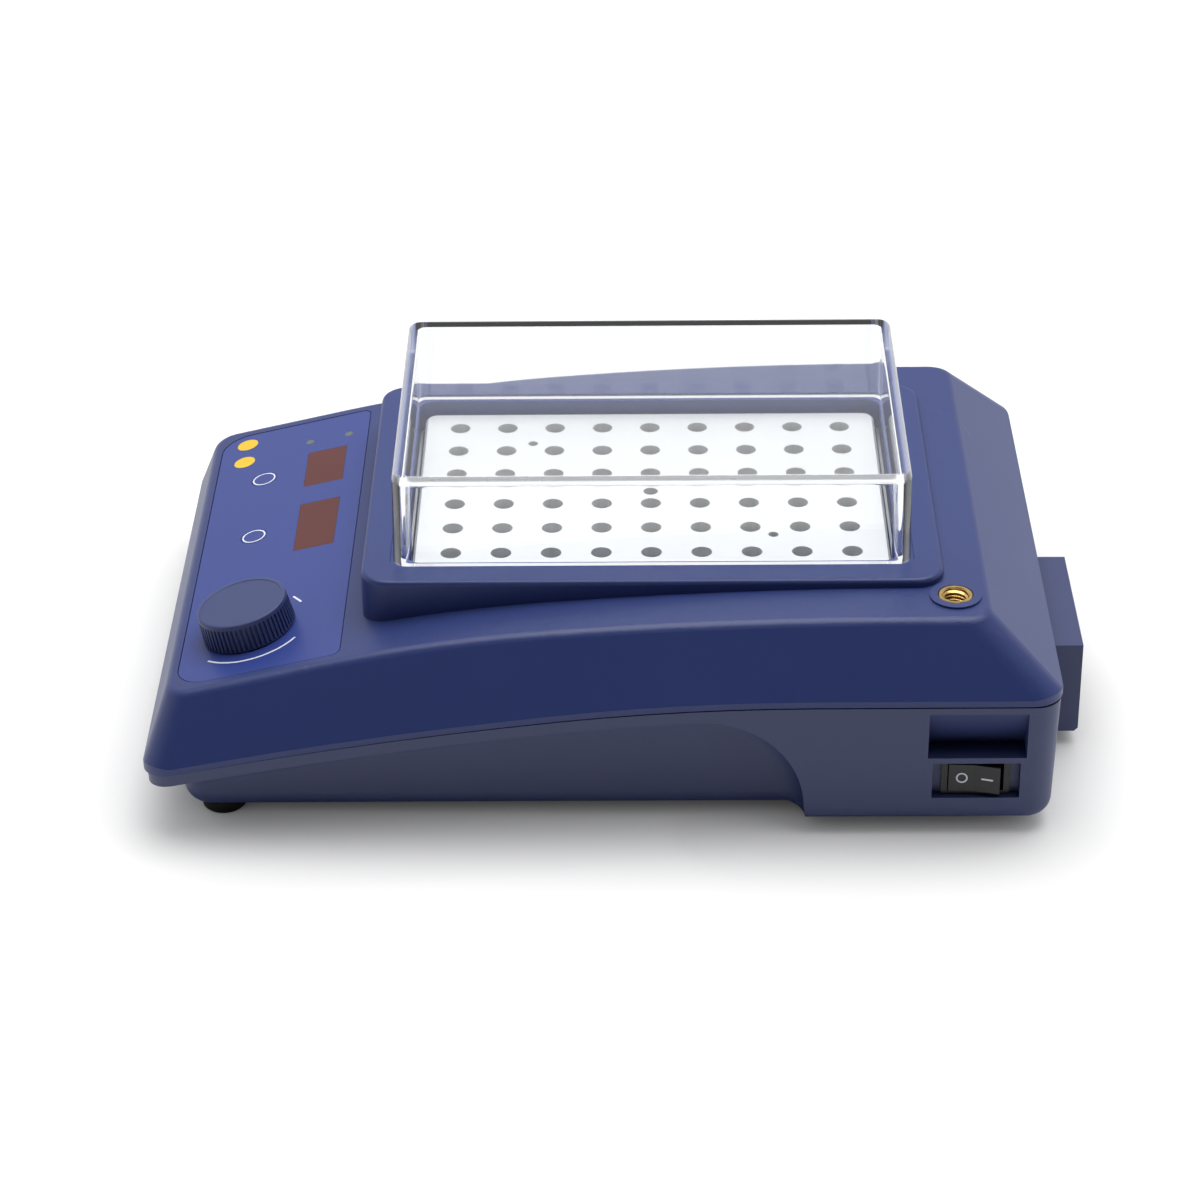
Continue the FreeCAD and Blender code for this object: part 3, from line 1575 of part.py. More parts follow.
switch_bezel = round_edges(
    "SwitchBezel",
    switch_box("SwitchBezelBlock", "switch_bezel_length", "switch_bezel_height", PLATE_SIDE, BEZEL_SIDE),
    size("switch_bezel_edge"), lambda edge: edge.BoundBox.XLength > size("switch_bezel_thickness") / 2,
)
switch_body = switch_box(
    "SwitchBody", "switch_body_length", "switch_body_height", BODY_END,
    f"{PLATE_SIDE} + switch_bezel_thickness / 2",
)
switch_cavity = switch_box(
    "SwitchCavity", "switch_cavity_length", "switch_cavity_height",
    f"{BEZEL_SIDE} - switch_cavity_depth", f"{BEZEL_SIDE} + joint_bite",
)
switch_sockets = switch_axle(
    "SwitchSockets", "rocker_pivot_radius + running_gap", "rocker_height + 2 * rocker_stub + fit_gap",
)
node(
    "switch_housing",
    cut("SwitchHousing", fuse("SwitchShell", switch_bezel, switch_body), switch_cavity, switch_sockets),
)
node("switch_terminals", group("SwitchTerminals", [
    box(
        f"SwitchTerminal{n}", "terminal_length", "terminal_thickness", "terminal_width",
        f"{BODY_END} - terminal_length",
        f"switch_centre + {shift} * switch_body_length / 3 - terminal_thickness / 2",
        "switch_height - terminal_width / 2",
    )
    for n, shift in enumerate((-1, 0, 1), start=1)
]))

rocker = new_body("Rocker")
rocker_side = outline(sketch_on(rocker, "RockerSide"), [
    ("rocker_face", "-rocker_half_length"),
    ("rocker_valley", "0"),
    ("rocker_face", "rocker_half_length"),
    ("rocker_skirt", "rocker_half_length"),
    ("-rocker_keel", "rocker_heel"),
    ("-rocker_keel", "-rocker_heel"),
    ("rocker_skirt", "-rocker_half_length"),
])
pad(rocker, "RockerPad", rocker_side, "rocker_height").Midplane = True
pivot_pad = pad(
    rocker, "RockerPivots", circle(sketch_on(rocker, "PivotSketch"), "rocker_pivot_radius"),
    "rocker_height + 2 * rocker_stub",
)
pivot_pad.Midplane = True
rocker.Placement.Rotation = FreeCAD.Rotation(Vector(0, 0, 1), -size("rocker_throw") / 2)
rocker.setExpression("Placement.Rotation.Angle", link("-rocker_throw / 2"))
node("rocker", place(rocker, PIVOT_SIDE, "switch_centre", "switch_height"))


# Mains inlet with its blades, screws and fuse drawer, in a box on the rear

inlet_shell = bevel_edges(
    "InletShell",
    inlet_box(
        "InletBlock", "inlet_box_width", "inlet_box_top - inlet_box_foot", CASING_REAR,
        "overall_length / 2",
    ),
    size("inlet_box_bevel"),
    lambda edge: is_level(edge, size("inlet_box_foot")) and edge.BoundBox.YMin > size(
        "overall_length"
    ) / 2 - 1,
)
inlet_room = inlet_box(
    "InletRoom", "inlet_box_width - 2 * inlet_box_wall",
    "inlet_box_top - inlet_box_foot - 2 * inlet_box_wall",
    f"{CASING_REAR} - joint_bite", f"{FLANGE_SEAT} - inlet_box_wall",
)
flange_recess = inlet_box(
    "FlangeRecess", "inlet_flange_width + 2 * fit_gap", "inlet_flange_height + 2 * fit_gap",
    FLANGE_SEAT, "overall_length",
)
inlet_posts = inlet_screw_pins(
    "InletPost", "inlet_post_radius", CASING_REAR, f"{FLANGE_SEAT} - inlet_box_wall / 2",
)
inlet_post_holes = inlet_screw_pins(
    "InletPostHole", "inlet_screw_radius + screw_gap", "0", "overall_length",
)
node("inlet_housing", cut(
    "InletHousing", fuse("InletStock", cut("InletHollow", inlet_shell, inlet_room), *inlet_posts),
    flange_recess, inlet_hole, *inlet_post_holes,
))

BODY_FRONT = f"({FLANGE_SEAT} - inlet_body_depth)"
SOCKET_FLOOR = "(overall_length / 2 - socket_depth)"
SOCKET_MIDDLE = f"({INLET_MIDDLE} + socket_lift)"
inlet_flange = round_edges(
    "InletFlange",
    inlet_box("FlangeBlock", "inlet_flange_width", "inlet_flange_height", FLANGE_SEAT, "overall_length / 2"),
    size("inlet_flange_corner"), lambda edge: edge.BoundBox.YLength > 1,
)
inlet_body = inlet_box(
    "InletBody", "inlet_body_width", "inlet_body_height", BODY_FRONT, f"{FLANGE_SEAT} + joint_bite",
)
socket = new_body("InletSocket")
half_width, half_height = "socket_width / 2", "socket_height / 2"
socket_outline = outline(sketch_on(socket, "SocketOutline", "XZ_Plane"), [
    (f"-{half_width}", f"-{half_height}"),
    (half_width, f"-{half_height}"),
    (half_width, f"{half_height} - socket_bevel"),
    (f"{half_width} - socket_bevel", half_height),
    (f"socket_bevel - {half_width}", half_height),
    (f"-{half_width}", f"{half_height} - socket_bevel"),
])
pad(socket, "SocketPad", socket_outline, "socket_depth + joint_bite")
place(socket, "inlet_side", "overall_length / 2 + joint_bite", SOCKET_MIDDLE)
drawer_slot = inlet_box(
    "DrawerSlot", "drawer_width + 2 * fit_gap", "drawer_height + 2 * fit_gap",
    "overall_length / 2 - drawer_depth - fit_gap", "overall_length", "(-drawer_drop)",
)
BLADES = [("Live", -1, "0"), ("Neutral", 1, "0"), ("Earth", 0, "earth_lift")]


def inlet_blades(name, gap):
    return [
        box(
            f"{name}{label}", f"blade_width + 2 * {gap}", "blade_reach + blade_tail",
            f"blade_height + 2 * {gap}",
            f"inlet_side + {side} * blade_spread - blade_width / 2 - {gap}", f"{SOCKET_FLOOR} - blade_tail",
            f"{SOCKET_MIDDLE} + {lift} - blade_height / 2 - {gap}",
        )
        for label, side, lift in BLADES
    ]


screw_heads = inlet_screw_pins(
    "InletHead", "inlet_head_radius", "overall_length / 2 - inlet_head_height", "overall_length / 2 - 0.1",
)
screw_shanks = inlet_screw_pins(
    "InletShank", "inlet_screw_radius", f"{CASING_REAR} - rear_wall", "overall_length / 2 - joint_bite",
)
head_seats = inlet_screw_pins(
    "HeadSeat", "inlet_head_radius + screw_gap", "overall_length / 2 - inlet_head_height", "overall_length",
)
shank_holes = inlet_screw_pins("ShankHole", "inlet_screw_radius + screw_gap", CASING_REAR, "overall_length")
node("iec_inlet", cut(
    "IecInlet", fuse("InletSolid", inlet_flange, inlet_body), socket, drawer_slot,
    *inlet_blades("BladeHole", "press_gap"), *head_seats, *shank_holes,
))
node("inlet_pins", group("InletPins", inlet_blades("Blade", "0")))
node("inlet_screws", group("InletScrews", [
    fuse(f"InletScrew{n}", head, shank) for n, (head, shank) in enumerate(
        zip(screw_heads, screw_shanks), start=1,
    )
]))

fuse_middle = "(overall_length / 2 - drawer_front - fuse_radius - fit_gap)"
drawer_block = inlet_box(
    "DrawerBlock", "drawer_width", "drawer_height",
    "overall_length / 2 - drawer_depth", "overall_length / 2", "(-drawer_drop)",
)
drawer_room = inlet_box(
    "DrawerRoom", "fuse_length + 2 * fit_gap", "drawer_height * 2",
    f"{fuse_middle} - fuse_radius - fit_gap", f"{fuse_middle} + fuse_radius + fit_gap", "(-drawer_drop)",
)
drawer_grip = inlet_box(
    "DrawerGrip", "drawer_grip_width", "drawer_grip_height", "overall_length / 2 - drawer_grip_depth",
    "overall_length",
    "(-drawer_drop)",
)
node("fuse_drawer", cut("FuseDrawer", drawer_block, drawer_room, drawer_grip))


def fuse_piece(name, radius, length, start):
    x = f"inlet_side - fuse_length / 2 + ({start})"
    return cylinder(name, radius, length, x, fuse_middle, f"{INLET_MIDDLE} - drawer_drop", "X")


node("fuse", fuse(
    "Fuse", fuse_piece("FuseTube", "fuse_radius - fuse_cap_step", "fuse_length - 1", "0.5"),
    fuse_piece("FuseCapLeft", "fuse_radius", "fuse_cap_length", "0"),
    fuse_piece("FuseCapRight", "fuse_radius", "fuse_cap_length", "fuse_length - fuse_cap_length"),
))


# Power board under the control panel

BOARD_TOP = f"({BOARD_FOOT} + board_thickness)"


def on_board(name, length, width, height, right, ahead):
    """A block standing on the power board, placed from the board's middle."""
    return centred_box(name, length, width, height, right, f"power_board_middle + {ahead}", BOARD_TOP)


power_holes = []
power_screws = []
for n, (x, y) in enumerate(POWER_SCREWS, start=1):
    power_holes.append(
        cylinder(
            f"PowerHole{n}", "board_screw_radius + screw_gap", "board_thickness * 3", x, y,
            f"{BOARD_FOOT} - joint_bite",
        )
    )
    head = cylinder(f"PowerScrewHead{n}", "board_screw_radius * 1.8", "board_thickness", x, y, BOARD_TOP)
    shank = cylinder(
        f"PowerScrewShank{n}", "board_screw_radius", "power_board_rise", x, y, f"{FLOOR} + board_thickness",
    )
    power_screws.append(fuse(f"PowerScrew{n}", head, shank))
power_blank = centred_box(
    "PowerBlank", "power_board_width", "power_board_length", "board_thickness", "0", "power_board_middle",
    BOARD_FOOT,
)
node("power_board", cut("PowerBoard", power_blank, *power_holes))
node("power_board_screws", group("PowerBoardScrews", power_screws))
node("transformer", fuse(
    "Transformer",
    on_board("TransformerCore", "core_width", "core_length", "core_height", "-transformer_side", "0"),
    on_board(
        "TransformerWinding", "winding_width", "winding_length", "winding_height", "-transformer_side", "0",
    ),
))
fin_pitch = "((sink_width - fin_thickness) / (sink_fins - 1))"
fins = [
    on_board(
        f"Fin{n}", "fin_thickness", "sink_length", "fin_height",
        f"sink_side + ({n} - (sink_fins - 1) / 2) * {fin_pitch}", "0",
    )
    for n in range(int(size("sink_fins")))
]
node(
    "triac_heat_sink",
    fuse(
        "TriacHeatSink", on_board("SinkBase", "sink_width", "sink_length", "sink_base", "sink_side", "0"),
        *fins,
    ),
)
node("board_capacitors", group("BoardCapacitors", [
    bevel_edges(
        f"Capacitor{n}",
        cylinder(
            f"CapacitorCan{n}", "capacitor_radius", "capacitor_height", f"{side} * capacitor_side",
            "power_board_middle - capacitor_ahead", BOARD_TOP,
        ),
        size("capacitor_bevel"), lambda edge: edge.BoundBox.ZMin > size("foot_height") + size(
            "capacitor_height"
        ) + 9,
    )
    for n, side in enumerate((-1, 1), start=1)
]))
strip_middle = "power_board_length / 2 - terminal_block_depth"
strip = on_board(
    "TerminalStrip", "terminal_block_width", "terminal_block_depth", "terminal_block_height", "0",
    strip_middle,
)
ways = int(size("terminal_block_ways"))
strip_holes = [
    cylinder(
        f"WireHole{n}", "wire_hole_radius", "terminal_block_depth",
        f"({n} - ({ways} - 1) / 2) * terminal_block_width / {ways}",
        f"power_board_middle + {strip_middle}", f"{BOARD_TOP} + terminal_block_height / 2", "Y",
    )
    for n in range(ways)
]
node("terminal_block", cut("TerminalBlock", strip, *strip_holes))


# Checks on every piece, then one file for each

doc.recompute()
faults = [item.Name for item in doc.Objects if "Invalid" in item.State or "Error" in item.State]
faults += [name for name, item in NODES.items() if item.Shape.isNull() or not item.Shape.isValid()]
if faults:
    raise ValueError("pieces that don't hold together: " + ", ".join(faults))
for name, item in NODES.items():
    item.Shape.exportStep(f"parts/{name}.step")
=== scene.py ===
"""Looks of a bench dry bath incubator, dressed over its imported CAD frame.

Metres throughout, in the frame's own axes: +Z up, +Y to the rear, +X to the operator's right.
Every piece that is modelled here sits in the place that the frame's own nodes give it.
"""

import json
import logging
import math
from collections.abc import Callable, Iterator, Sequence
from contextlib import contextmanager
from dataclasses import dataclass, field
from enum import Enum

import bpy
from mathutils import Matrix, Vector


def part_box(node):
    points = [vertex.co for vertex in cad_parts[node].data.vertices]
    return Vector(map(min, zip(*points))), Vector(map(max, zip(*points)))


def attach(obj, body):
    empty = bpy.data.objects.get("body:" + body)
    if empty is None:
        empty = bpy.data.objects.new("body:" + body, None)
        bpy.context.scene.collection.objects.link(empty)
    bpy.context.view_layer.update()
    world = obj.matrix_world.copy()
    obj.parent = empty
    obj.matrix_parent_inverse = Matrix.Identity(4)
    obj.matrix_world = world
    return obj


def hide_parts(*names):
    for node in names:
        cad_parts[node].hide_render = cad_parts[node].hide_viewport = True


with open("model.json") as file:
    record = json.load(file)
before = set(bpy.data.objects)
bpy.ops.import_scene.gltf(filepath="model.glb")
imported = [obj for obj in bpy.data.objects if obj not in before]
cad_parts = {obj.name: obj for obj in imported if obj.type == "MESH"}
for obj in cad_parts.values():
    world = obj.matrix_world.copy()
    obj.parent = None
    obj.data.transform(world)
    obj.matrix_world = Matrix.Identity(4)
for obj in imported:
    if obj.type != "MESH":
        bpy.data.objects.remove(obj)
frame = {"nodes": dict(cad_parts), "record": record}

LOG = logging.getLogger("dry_bath_looks")
TOUCH = 1e-6  # metres within which two places count as one
ROUND_END = 0.45  # share of a printed stroke's width that is rounded at each side
FLAT = 0.9  # how far along an axis a normal has to lean to count as facing it

Piece = bpy.types.Object
Material = bpy.types.Material
Node = bpy.types.Node
NodeTree = bpy.types.NodeTree
Socket = bpy.types.NodeSocket
Point = tuple[float, float, float]
Colour = tuple[float, float, float]
Bounds = tuple[Vector, Vector]
Test = Callable[[Vector, Vector], bool]

BLACK: Colour = (0.0, 0.0, 0.0)
WHITE: Colour = (1.0, 1.0, 1.0)


def tone(red: int, green: int, blue: int) -> Colour:
    """Turn a screen colour into the linear values that shaders take.

    Args:
        red: Red, 0 to 255.
        green: Green, 0 to 255.
        blue: Blue, 0 to 255.

    Returns:
        The same colour as linear numbers from 0 to 1.
    """
    def linear(level: float) -> float:
        """One channel, undone from the screen's curve."""
        return level / 12.92 if level <= 0.04045 else ((level + 0.055) / 1.055) ** 2.4

    return linear(red / 255), linear(green / 255), linear(blue / 255)


class Pick(Enum):
    """What a selection in edit mode is made of."""

    VERT = "VERT"
    EDGE = "EDGE"
    FACE = "FACE"


class Grain(Enum):
    """Fine surface textures, with the size of their features in metres."""

    SPARKED = 0.00045
    SATIN = 0.00025
    FILM = 0.00032
    SMOOTH = 0.0009
    FELT = 0.0007


# ---------------------------------------------------------------- shader groups


@dataclass
class NodeBench:
    """A node tree that is being wired up."""

    tree: NodeTree

    def add(self, kind: str, **sockets: object) -> Node:
        """Add a node and set some of its input sockets.

        Args:
            kind: The node's type name, without the ShaderNode prefix.
            sockets: Values by socket name, with underscores for spaces.

        Returns:
            The new node.
        """
        node = self.tree.nodes.new("ShaderNode" + kind)
        for name, value in sockets.items():
            node.inputs[name.replace("_", " ")].default_value = value
        return node

    def join(self, source: Socket, target: Socket) -> None:
        """Link one socket to another."""
        self.tree.links.new(source, target)

    def maths(self, operation: str, first: object, second: object) -> Socket:
        """Put a Math node on two values or sockets.

        Args:
            operation: The Math node's operation.
            first: A number or a socket.
            second: A number or a socket.

        Returns:
            The node's result.
        """
        node = self.add("Math")
        node.operation = operation
        for socket, value in zip(node.inputs, (first, second)):
            if isinstance(value, Socket):
                self.join(value, socket)
            else:
                socket.default_value = value
        return node.outputs[0]

    def spread(self, source: Socket, low: float, high: float) -> Socket:
        """Map a mask from 0 to 1 onto a range of values."""
        node = self.add("MapRange", To_Min=low, To_Max=high)
        self.join(source, node.inputs["Value"])
        return node.outputs["Result"]

    def blend(self, mask: Socket, dark: Colour, light: Colour) -> Socket:
        """Mix two colours by a mask.

        Args:
            mask: How much of the second colour shows.
            dark: The first colour.
            light: The second colour.

        Returns:
            The mixed colour.
        """
        node = self.add("Mix")
        node.data_type = "RGBA"
        node.inputs["A"].default_value = (*dark, 1)
        node.inputs["B"].default_value = (*light, 1)
        self.join(mask, node.inputs["Factor"])
        return node.outputs["Result"]

    def clear_where(self, mask: Socket, shader: Node, clear: Node) -> None:
        """Let a see-through shader take over from a material's own.

        Args:
            mask: Where it takes over.
            shader: The material's own shader.
            clear: The see-through shader.
        """
        mix = self.add("MixShader")
        self.join(mask, mix.inputs["Fac"])
        self.join(shader.outputs["BSDF"], mix.inputs[1])
        self.join(clear.outputs["BSDF"], mix.inputs[2])
        self.join(mix.outputs["Shader"], self.tree.nodes["Material Output"].inputs["Surface"])


def new_group(name: str, inputs: Sequence[tuple[str, float]], outputs: Sequence[str]) -> NodeBench:
    """Start a shader group with float sockets.

    Args:
        name: The group's name.
        inputs: Name and default of each input.
        outputs: Name of each output.

    Returns:
        A bench on the group's tree, with its input and output nodes in place.
    """
    tree = bpy.data.node_groups.new(name, "ShaderNodeTree")
    for label, value in inputs:
        socket = tree.interface.new_socket(label, in_out="INPUT", socket_type="NodeSocketFloat")
        socket.default_value = value
    for label in outputs:
        tree.interface.new_socket(label, in_out="OUTPUT", socket_type="NodeSocketFloat")
    tree.nodes.new("NodeGroupInput")
    tree.nodes.new("NodeGroupOutput")
    return NodeBench(tree)


def grain_group() -> NodeTree:
    """Moulded or blasted surface: pits of one size, a slow drift of tone, and faint rub marks.

    Returns:
        The group, with outputs Height, Drift and Rubs.
    """
    inputs = [("Feature", 0.0004), ("Drift Size", 0.05)]
    bench = new_group("surface_grain", inputs, ["Height", "Drift", "Rubs"])
    given, made = bench.tree.nodes["Group Input"], bench.tree.nodes["Group Output"]
    place = bench.add("TexCoord").outputs["Object"]
    fine = bench.add("TexNoise", Detail=3.0, Roughness=0.65)
    pits = bench.add("TexVoronoi", Randomness=1.0)
    scale = bench.maths("DIVIDE", 1.0, given.outputs["Feature"])
    for node in (fine, pits):
        bench.join(place, node.inputs["Vector"])
        bench.join(scale, node.inputs["Scale"])
    relief = bench.maths("MULTIPLY", pits.outputs["Distance"], 0.5)
    bench.join(bench.maths("ADD", fine.outputs["Fac"], relief), made.inputs["Height"])
    slow = bench.add("TexNoise", Detail=2.0, Roughness=0.5)
    bench.join(place, slow.inputs["Vector"])
    bench.join(bench.maths("DIVIDE", 1.0, given.outputs["Drift Size"]), slow.inputs["Scale"])
    bench.join(slow.outputs["Fac"], made.inputs["Drift"])
    rubs = bench.add("TexNoise", Scale=55.0, Detail=5.0, Roughness=0.7, Distortion=1.4)
    bench.join(place, rubs.inputs["Vector"])
    ramp = bench.add("MapRange", From_Min=0.60, From_Max=0.74)
    bench.join(rubs.outputs["Fac"], ramp.inputs["Value"])
    bench.join(ramp.outputs["Result"], made.inputs["Rubs"])
    return bench.tree


def tooling_group() -> NodeTree:
    """Machined or drawn metal: fine lines along one axis over a slow drift.

    Returns:
        The group, with outputs Lines and Drift.
    """
    inputs = [("Along X", 0.02), ("Along Y", 1.0), ("Along Z", 1.0), ("Pitch", 0.0003)]
    bench = new_group("tool_lines", inputs, ["Lines", "Drift"])
    given, made = bench.tree.nodes["Group Input"], bench.tree.nodes["Group Output"]
    place = bench.add("TexCoord").outputs["Object"]
    stretch = bench.add("CombineXYZ")
    for axis in "XYZ":
        bench.join(given.outputs[f"Along {axis}"], stretch.inputs[axis])
    scaled = bench.add("VectorMath")
    scaled.operation = "MULTIPLY"
    bench.join(place, scaled.inputs[0])
    bench.join(stretch.outputs["Vector"], scaled.inputs[1])
    lines = bench.add("TexNoise", Detail=2.0, Roughness=0.6)
    bench.join(scaled.outputs["Vector"], lines.inputs["Vector"])
    bench.join(bench.maths("DIVIDE", 1.0, given.outputs["Pitch"]), lines.inputs["Scale"])
    bench.join(lines.outputs["Fac"], made.inputs["Lines"])
    drift = bench.add("TexNoise", Scale=30.0, Detail=3.0)
    bench.join(place, drift.inputs["Vector"])
    bench.join(drift.outputs["Fac"], made.inputs["Drift"])
    return bench.tree


def sheet_edge_group() -> NodeTree:
    """A clear box's edges: a mask that rises where two of its outer faces meet.

    Returns:
        The group, with output Edge.
    """
    inputs = [
        ("Half X", 0.0565), ("Half Y", 0.0815), ("Centre Y", 0.0105), ("Top", 0.106),
        ("Band", 0.003), ("Gain", 1.6),
    ]
    bench = new_group("sheet_edges", inputs, ["Edge"])
    given, made = bench.tree.nodes["Group Input"], bench.tree.nodes["Group Output"]
    parts = bench.add("SeparateXYZ")
    bench.join(bench.add("TexCoord").outputs["Object"], parts.inputs["Vector"])
    across = bench.maths("ABSOLUTE", parts.outputs["X"], 0)
    offset = bench.maths("SUBTRACT", parts.outputs["Y"], given.outputs["Centre Y"])
    along = bench.maths("ABSOLUTE", offset, 0)
    gaps = (
        bench.maths("SUBTRACT", given.outputs["Half X"], across),
        bench.maths("SUBTRACT", given.outputs["Half Y"], along),
        bench.maths("SUBTRACT", given.outputs["Top"], parts.outputs["Z"]),
    )
    near = []
    for gap in gaps:
        closeness = bench.maths("SUBTRACT", 1.0, bench.maths("DIVIDE", gap, given.outputs["Band"]))
        near.append(bench.maths("MAXIMUM", closeness, 0.0))
    pairs = [bench.maths("MULTIPLY", near[n], near[n - 1]) for n in range(3)]
    edge = bench.maths("MAXIMUM", bench.maths("MAXIMUM", pairs[0], pairs[1]), pairs[2])
    raised = bench.maths("MULTIPLY", edge, given.outputs["Gain"])
    bench.join(bench.maths("MINIMUM", raised, 1.0), made.inputs["Edge"])
    return bench.tree


SURFACE_GRAIN = grain_group()
TOOL_LINES = tooling_group()
SHEET_EDGES = sheet_edge_group()


# ---------------------------------------------------------------- finishes


@dataclass(frozen=True)
class Finish:
    """What every finish has: a name, a colour and a roughness."""

    name: str
    colour: Colour
    roughness: float

    def start(self) -> tuple[Material, NodeBench, Node]:
        """Make an empty material with a Principled shader in it.

        Returns:
            The material, a bench on its tree, and the shader node.
        """
        material = bpy.data.materials.new(self.name)
        material.use_nodes = True
        bench = NodeBench(material.node_tree)
        shader = material.node_tree.nodes["Principled BSDF"]
        shader.inputs["Base Color"].default_value = (*self.colour, 1)
        shader.inputs["Roughness"].default_value = self.roughness
        return material, bench, shader

    def group(self, bench: NodeBench, tree: NodeTree, **values: float) -> Node:
        """Place a shared group in a material with this finish's own values."""
        node = bench.add("Group")
        node.node_tree = tree
        for name, value in values.items():
            node.inputs[name.replace("_", " ")].default_value = value
        return node

    def shades(self, spread: float) -> tuple[Colour, Colour]:
        """The colour a little darker and a little lighter."""
        dark, light = (tuple(c * k for c in self.colour) for k in (1 - spread, 1 + spread))
        return dark, light

    def bump(self, bench: NodeBench, shader: Node, height: Socket, depth: float) -> None:
        """Drive the shader's normal from a height, with its depth in metres."""
        node = bench.add("Bump", Strength=1.0, Distance=depth)
        bench.join(height, node.inputs["Height"])
        bench.join(node.outputs["Normal"], shader.inputs["Normal"])

    def build(self) -> Material:
        """Make the material."""
        raise NotImplementedError(self.name)


@dataclass(frozen=True)
class Moulding(Finish):
    """Moulded plastic or rubber, with a fine texture and a drift in its tone."""

    grain: Grain = Grain.SPARKED
    depth: float = 0.00002
    drift: float = 0.05
    rubbed: float = 0.06
    specular: float = 0.5
    swing: float = 0.03

    def build(self) -> Material:
        """Make the material.

        Returns:
            A material whose tone, roughness and normal vary with the grain.
        """
        material, bench, shader = self.start()
        surface = self.group(bench, SURFACE_GRAIN, Feature=self.grain.value)
        base = bench.blend(surface.outputs["Drift"], *self.shades(self.drift))
        bench.join(base, shader.inputs["Base Color"])
        low, high = self.roughness - self.swing, self.roughness + self.swing
        rough = bench.spread(surface.outputs["Drift"], low, high)
        worn = bench.maths("MULTIPLY", surface.outputs["Rubs"], self.rubbed)
        bench.join(bench.maths("SUBTRACT", rough, worn), shader.inputs["Roughness"])
        self.bump(bench, shader, surface.outputs["Height"], self.depth)
        shader.inputs["Specular IOR Level"].default_value = self.specular
        return material


@dataclass(frozen=True)
class Metal(Finish):
    """Bare metal with tool lines that run along one axis."""

    along: Point = (0.02, 1.0, 1.0)
    pitch: float = 0.0003
    depth: float = 0.000008
    bare: float = 1.0
    drift: float = 0.05
    swing: tuple[float, float] = (-0.06, 0.08)

    def build(self) -> Material:
        """Make the material.

        Returns:
            A metal whose roughness and normal follow its tool lines.
        """
        material, bench, shader = self.start()
        x, y, z = self.along
        lines = self.group(bench, TOOL_LINES, Along_X=x, Along_Y=y, Along_Z=z, Pitch=self.pitch)
        base = bench.blend(lines.outputs["Drift"], *self.shades(self.drift))
        bench.join(base, shader.inputs["Base Color"])
        low, high = (self.roughness + step for step in self.swing)
        bench.join(bench.spread(lines.outputs["Lines"], low, high), shader.inputs["Roughness"])
        self.bump(bench, shader, lines.outputs["Lines"], self.depth)
        shader.inputs["Metallic"].default_value = self.bare
        return material


@dataclass(frozen=True)
class Acrylic(Finish):
    """Clear cast plastic: it lets light through, its edges are softened, and they carry a painted
    glow.
    """

    ior: float = 1.49
    edge_roughness: float = 0.3
    # The emission strength and tone below paint a glow onto the lid's edges.
    painted_edge_glow: float = 0.45
    painted_edge_glow_tone: Colour = (0.92, 0.95, 1.0)
    shadow_tint: Colour = (0.93, 0.95, 0.97)
    smudge: float = 0.05

    def build(self) -> Material:
        """Make the material.

        Returns:
            A clear shader with a painted glow along its edges, and plain see-through for shadow
            rays.
        """
        material, bench, shader = self.start()
        shader.inputs["Transmission Weight"].default_value = 1.0
        shader.inputs["IOR"].default_value = self.ior
        surface = self.group(bench, SURFACE_GRAIN, Feature=Grain.SMOOTH.value)
        smudges = bench.maths("MULTIPLY", surface.outputs["Rubs"], self.smudge)
        edge = self.group(bench, SHEET_EDGES).outputs["Edge"]
        soft = bench.maths("MULTIPLY", edge, self.edge_roughness)
        rough = bench.maths("ADD", bench.maths("ADD", smudges, self.roughness), soft)
        bench.join(rough, shader.inputs["Roughness"])
        # Painted glow: the edge mask drives an emission, so the lid's edges shine as though they
        # gathered light.
        bench.join(bench.blend(edge, BLACK, self.painted_edge_glow_tone), shader.inputs["Emission Color"])
        shader.inputs["Emission Strength"].default_value = self.painted_edge_glow
        clear = bench.add("BsdfTransparent", Color=(*self.shadow_tint, 1))
        bench.clear_where(bench.add("LightPath").outputs["Is Shadow Ray"], shader, clear)
        return material


@dataclass(frozen=True)
class Laminate(Finish):
    """Circuit board: solder mask over copper tracks."""

    copper: Colour = tone(58, 120, 70)
    spacing: float = 0.006
    relief: float = -0.00003

    def build(self) -> Material:
        """Make the material.

        Returns:
            A glossy green board with paler tracks and a low relief over them.
        """
        material, bench, shader = self.start()
        place = bench.add("TexCoord").outputs["Object"]
        tracks = bench.add("TexVoronoi", Scale=1 / self.spacing, Randomness=0.35)
        tracks.distance = "MANHATTAN"
        bench.join(place, tracks.inputs["Vector"])
        edge = bench.add("MapRange", From_Min=0.22, From_Max=0.30)
        bench.join(tracks.outputs["Distance"], edge.inputs["Value"])
        base = bench.blend(edge.outputs["Result"], self.copper, self.colour)
        bench.join(base, shader.inputs["Base Color"])
        self.bump(bench, shader, edge.outputs["Result"], self.relief)
        return material


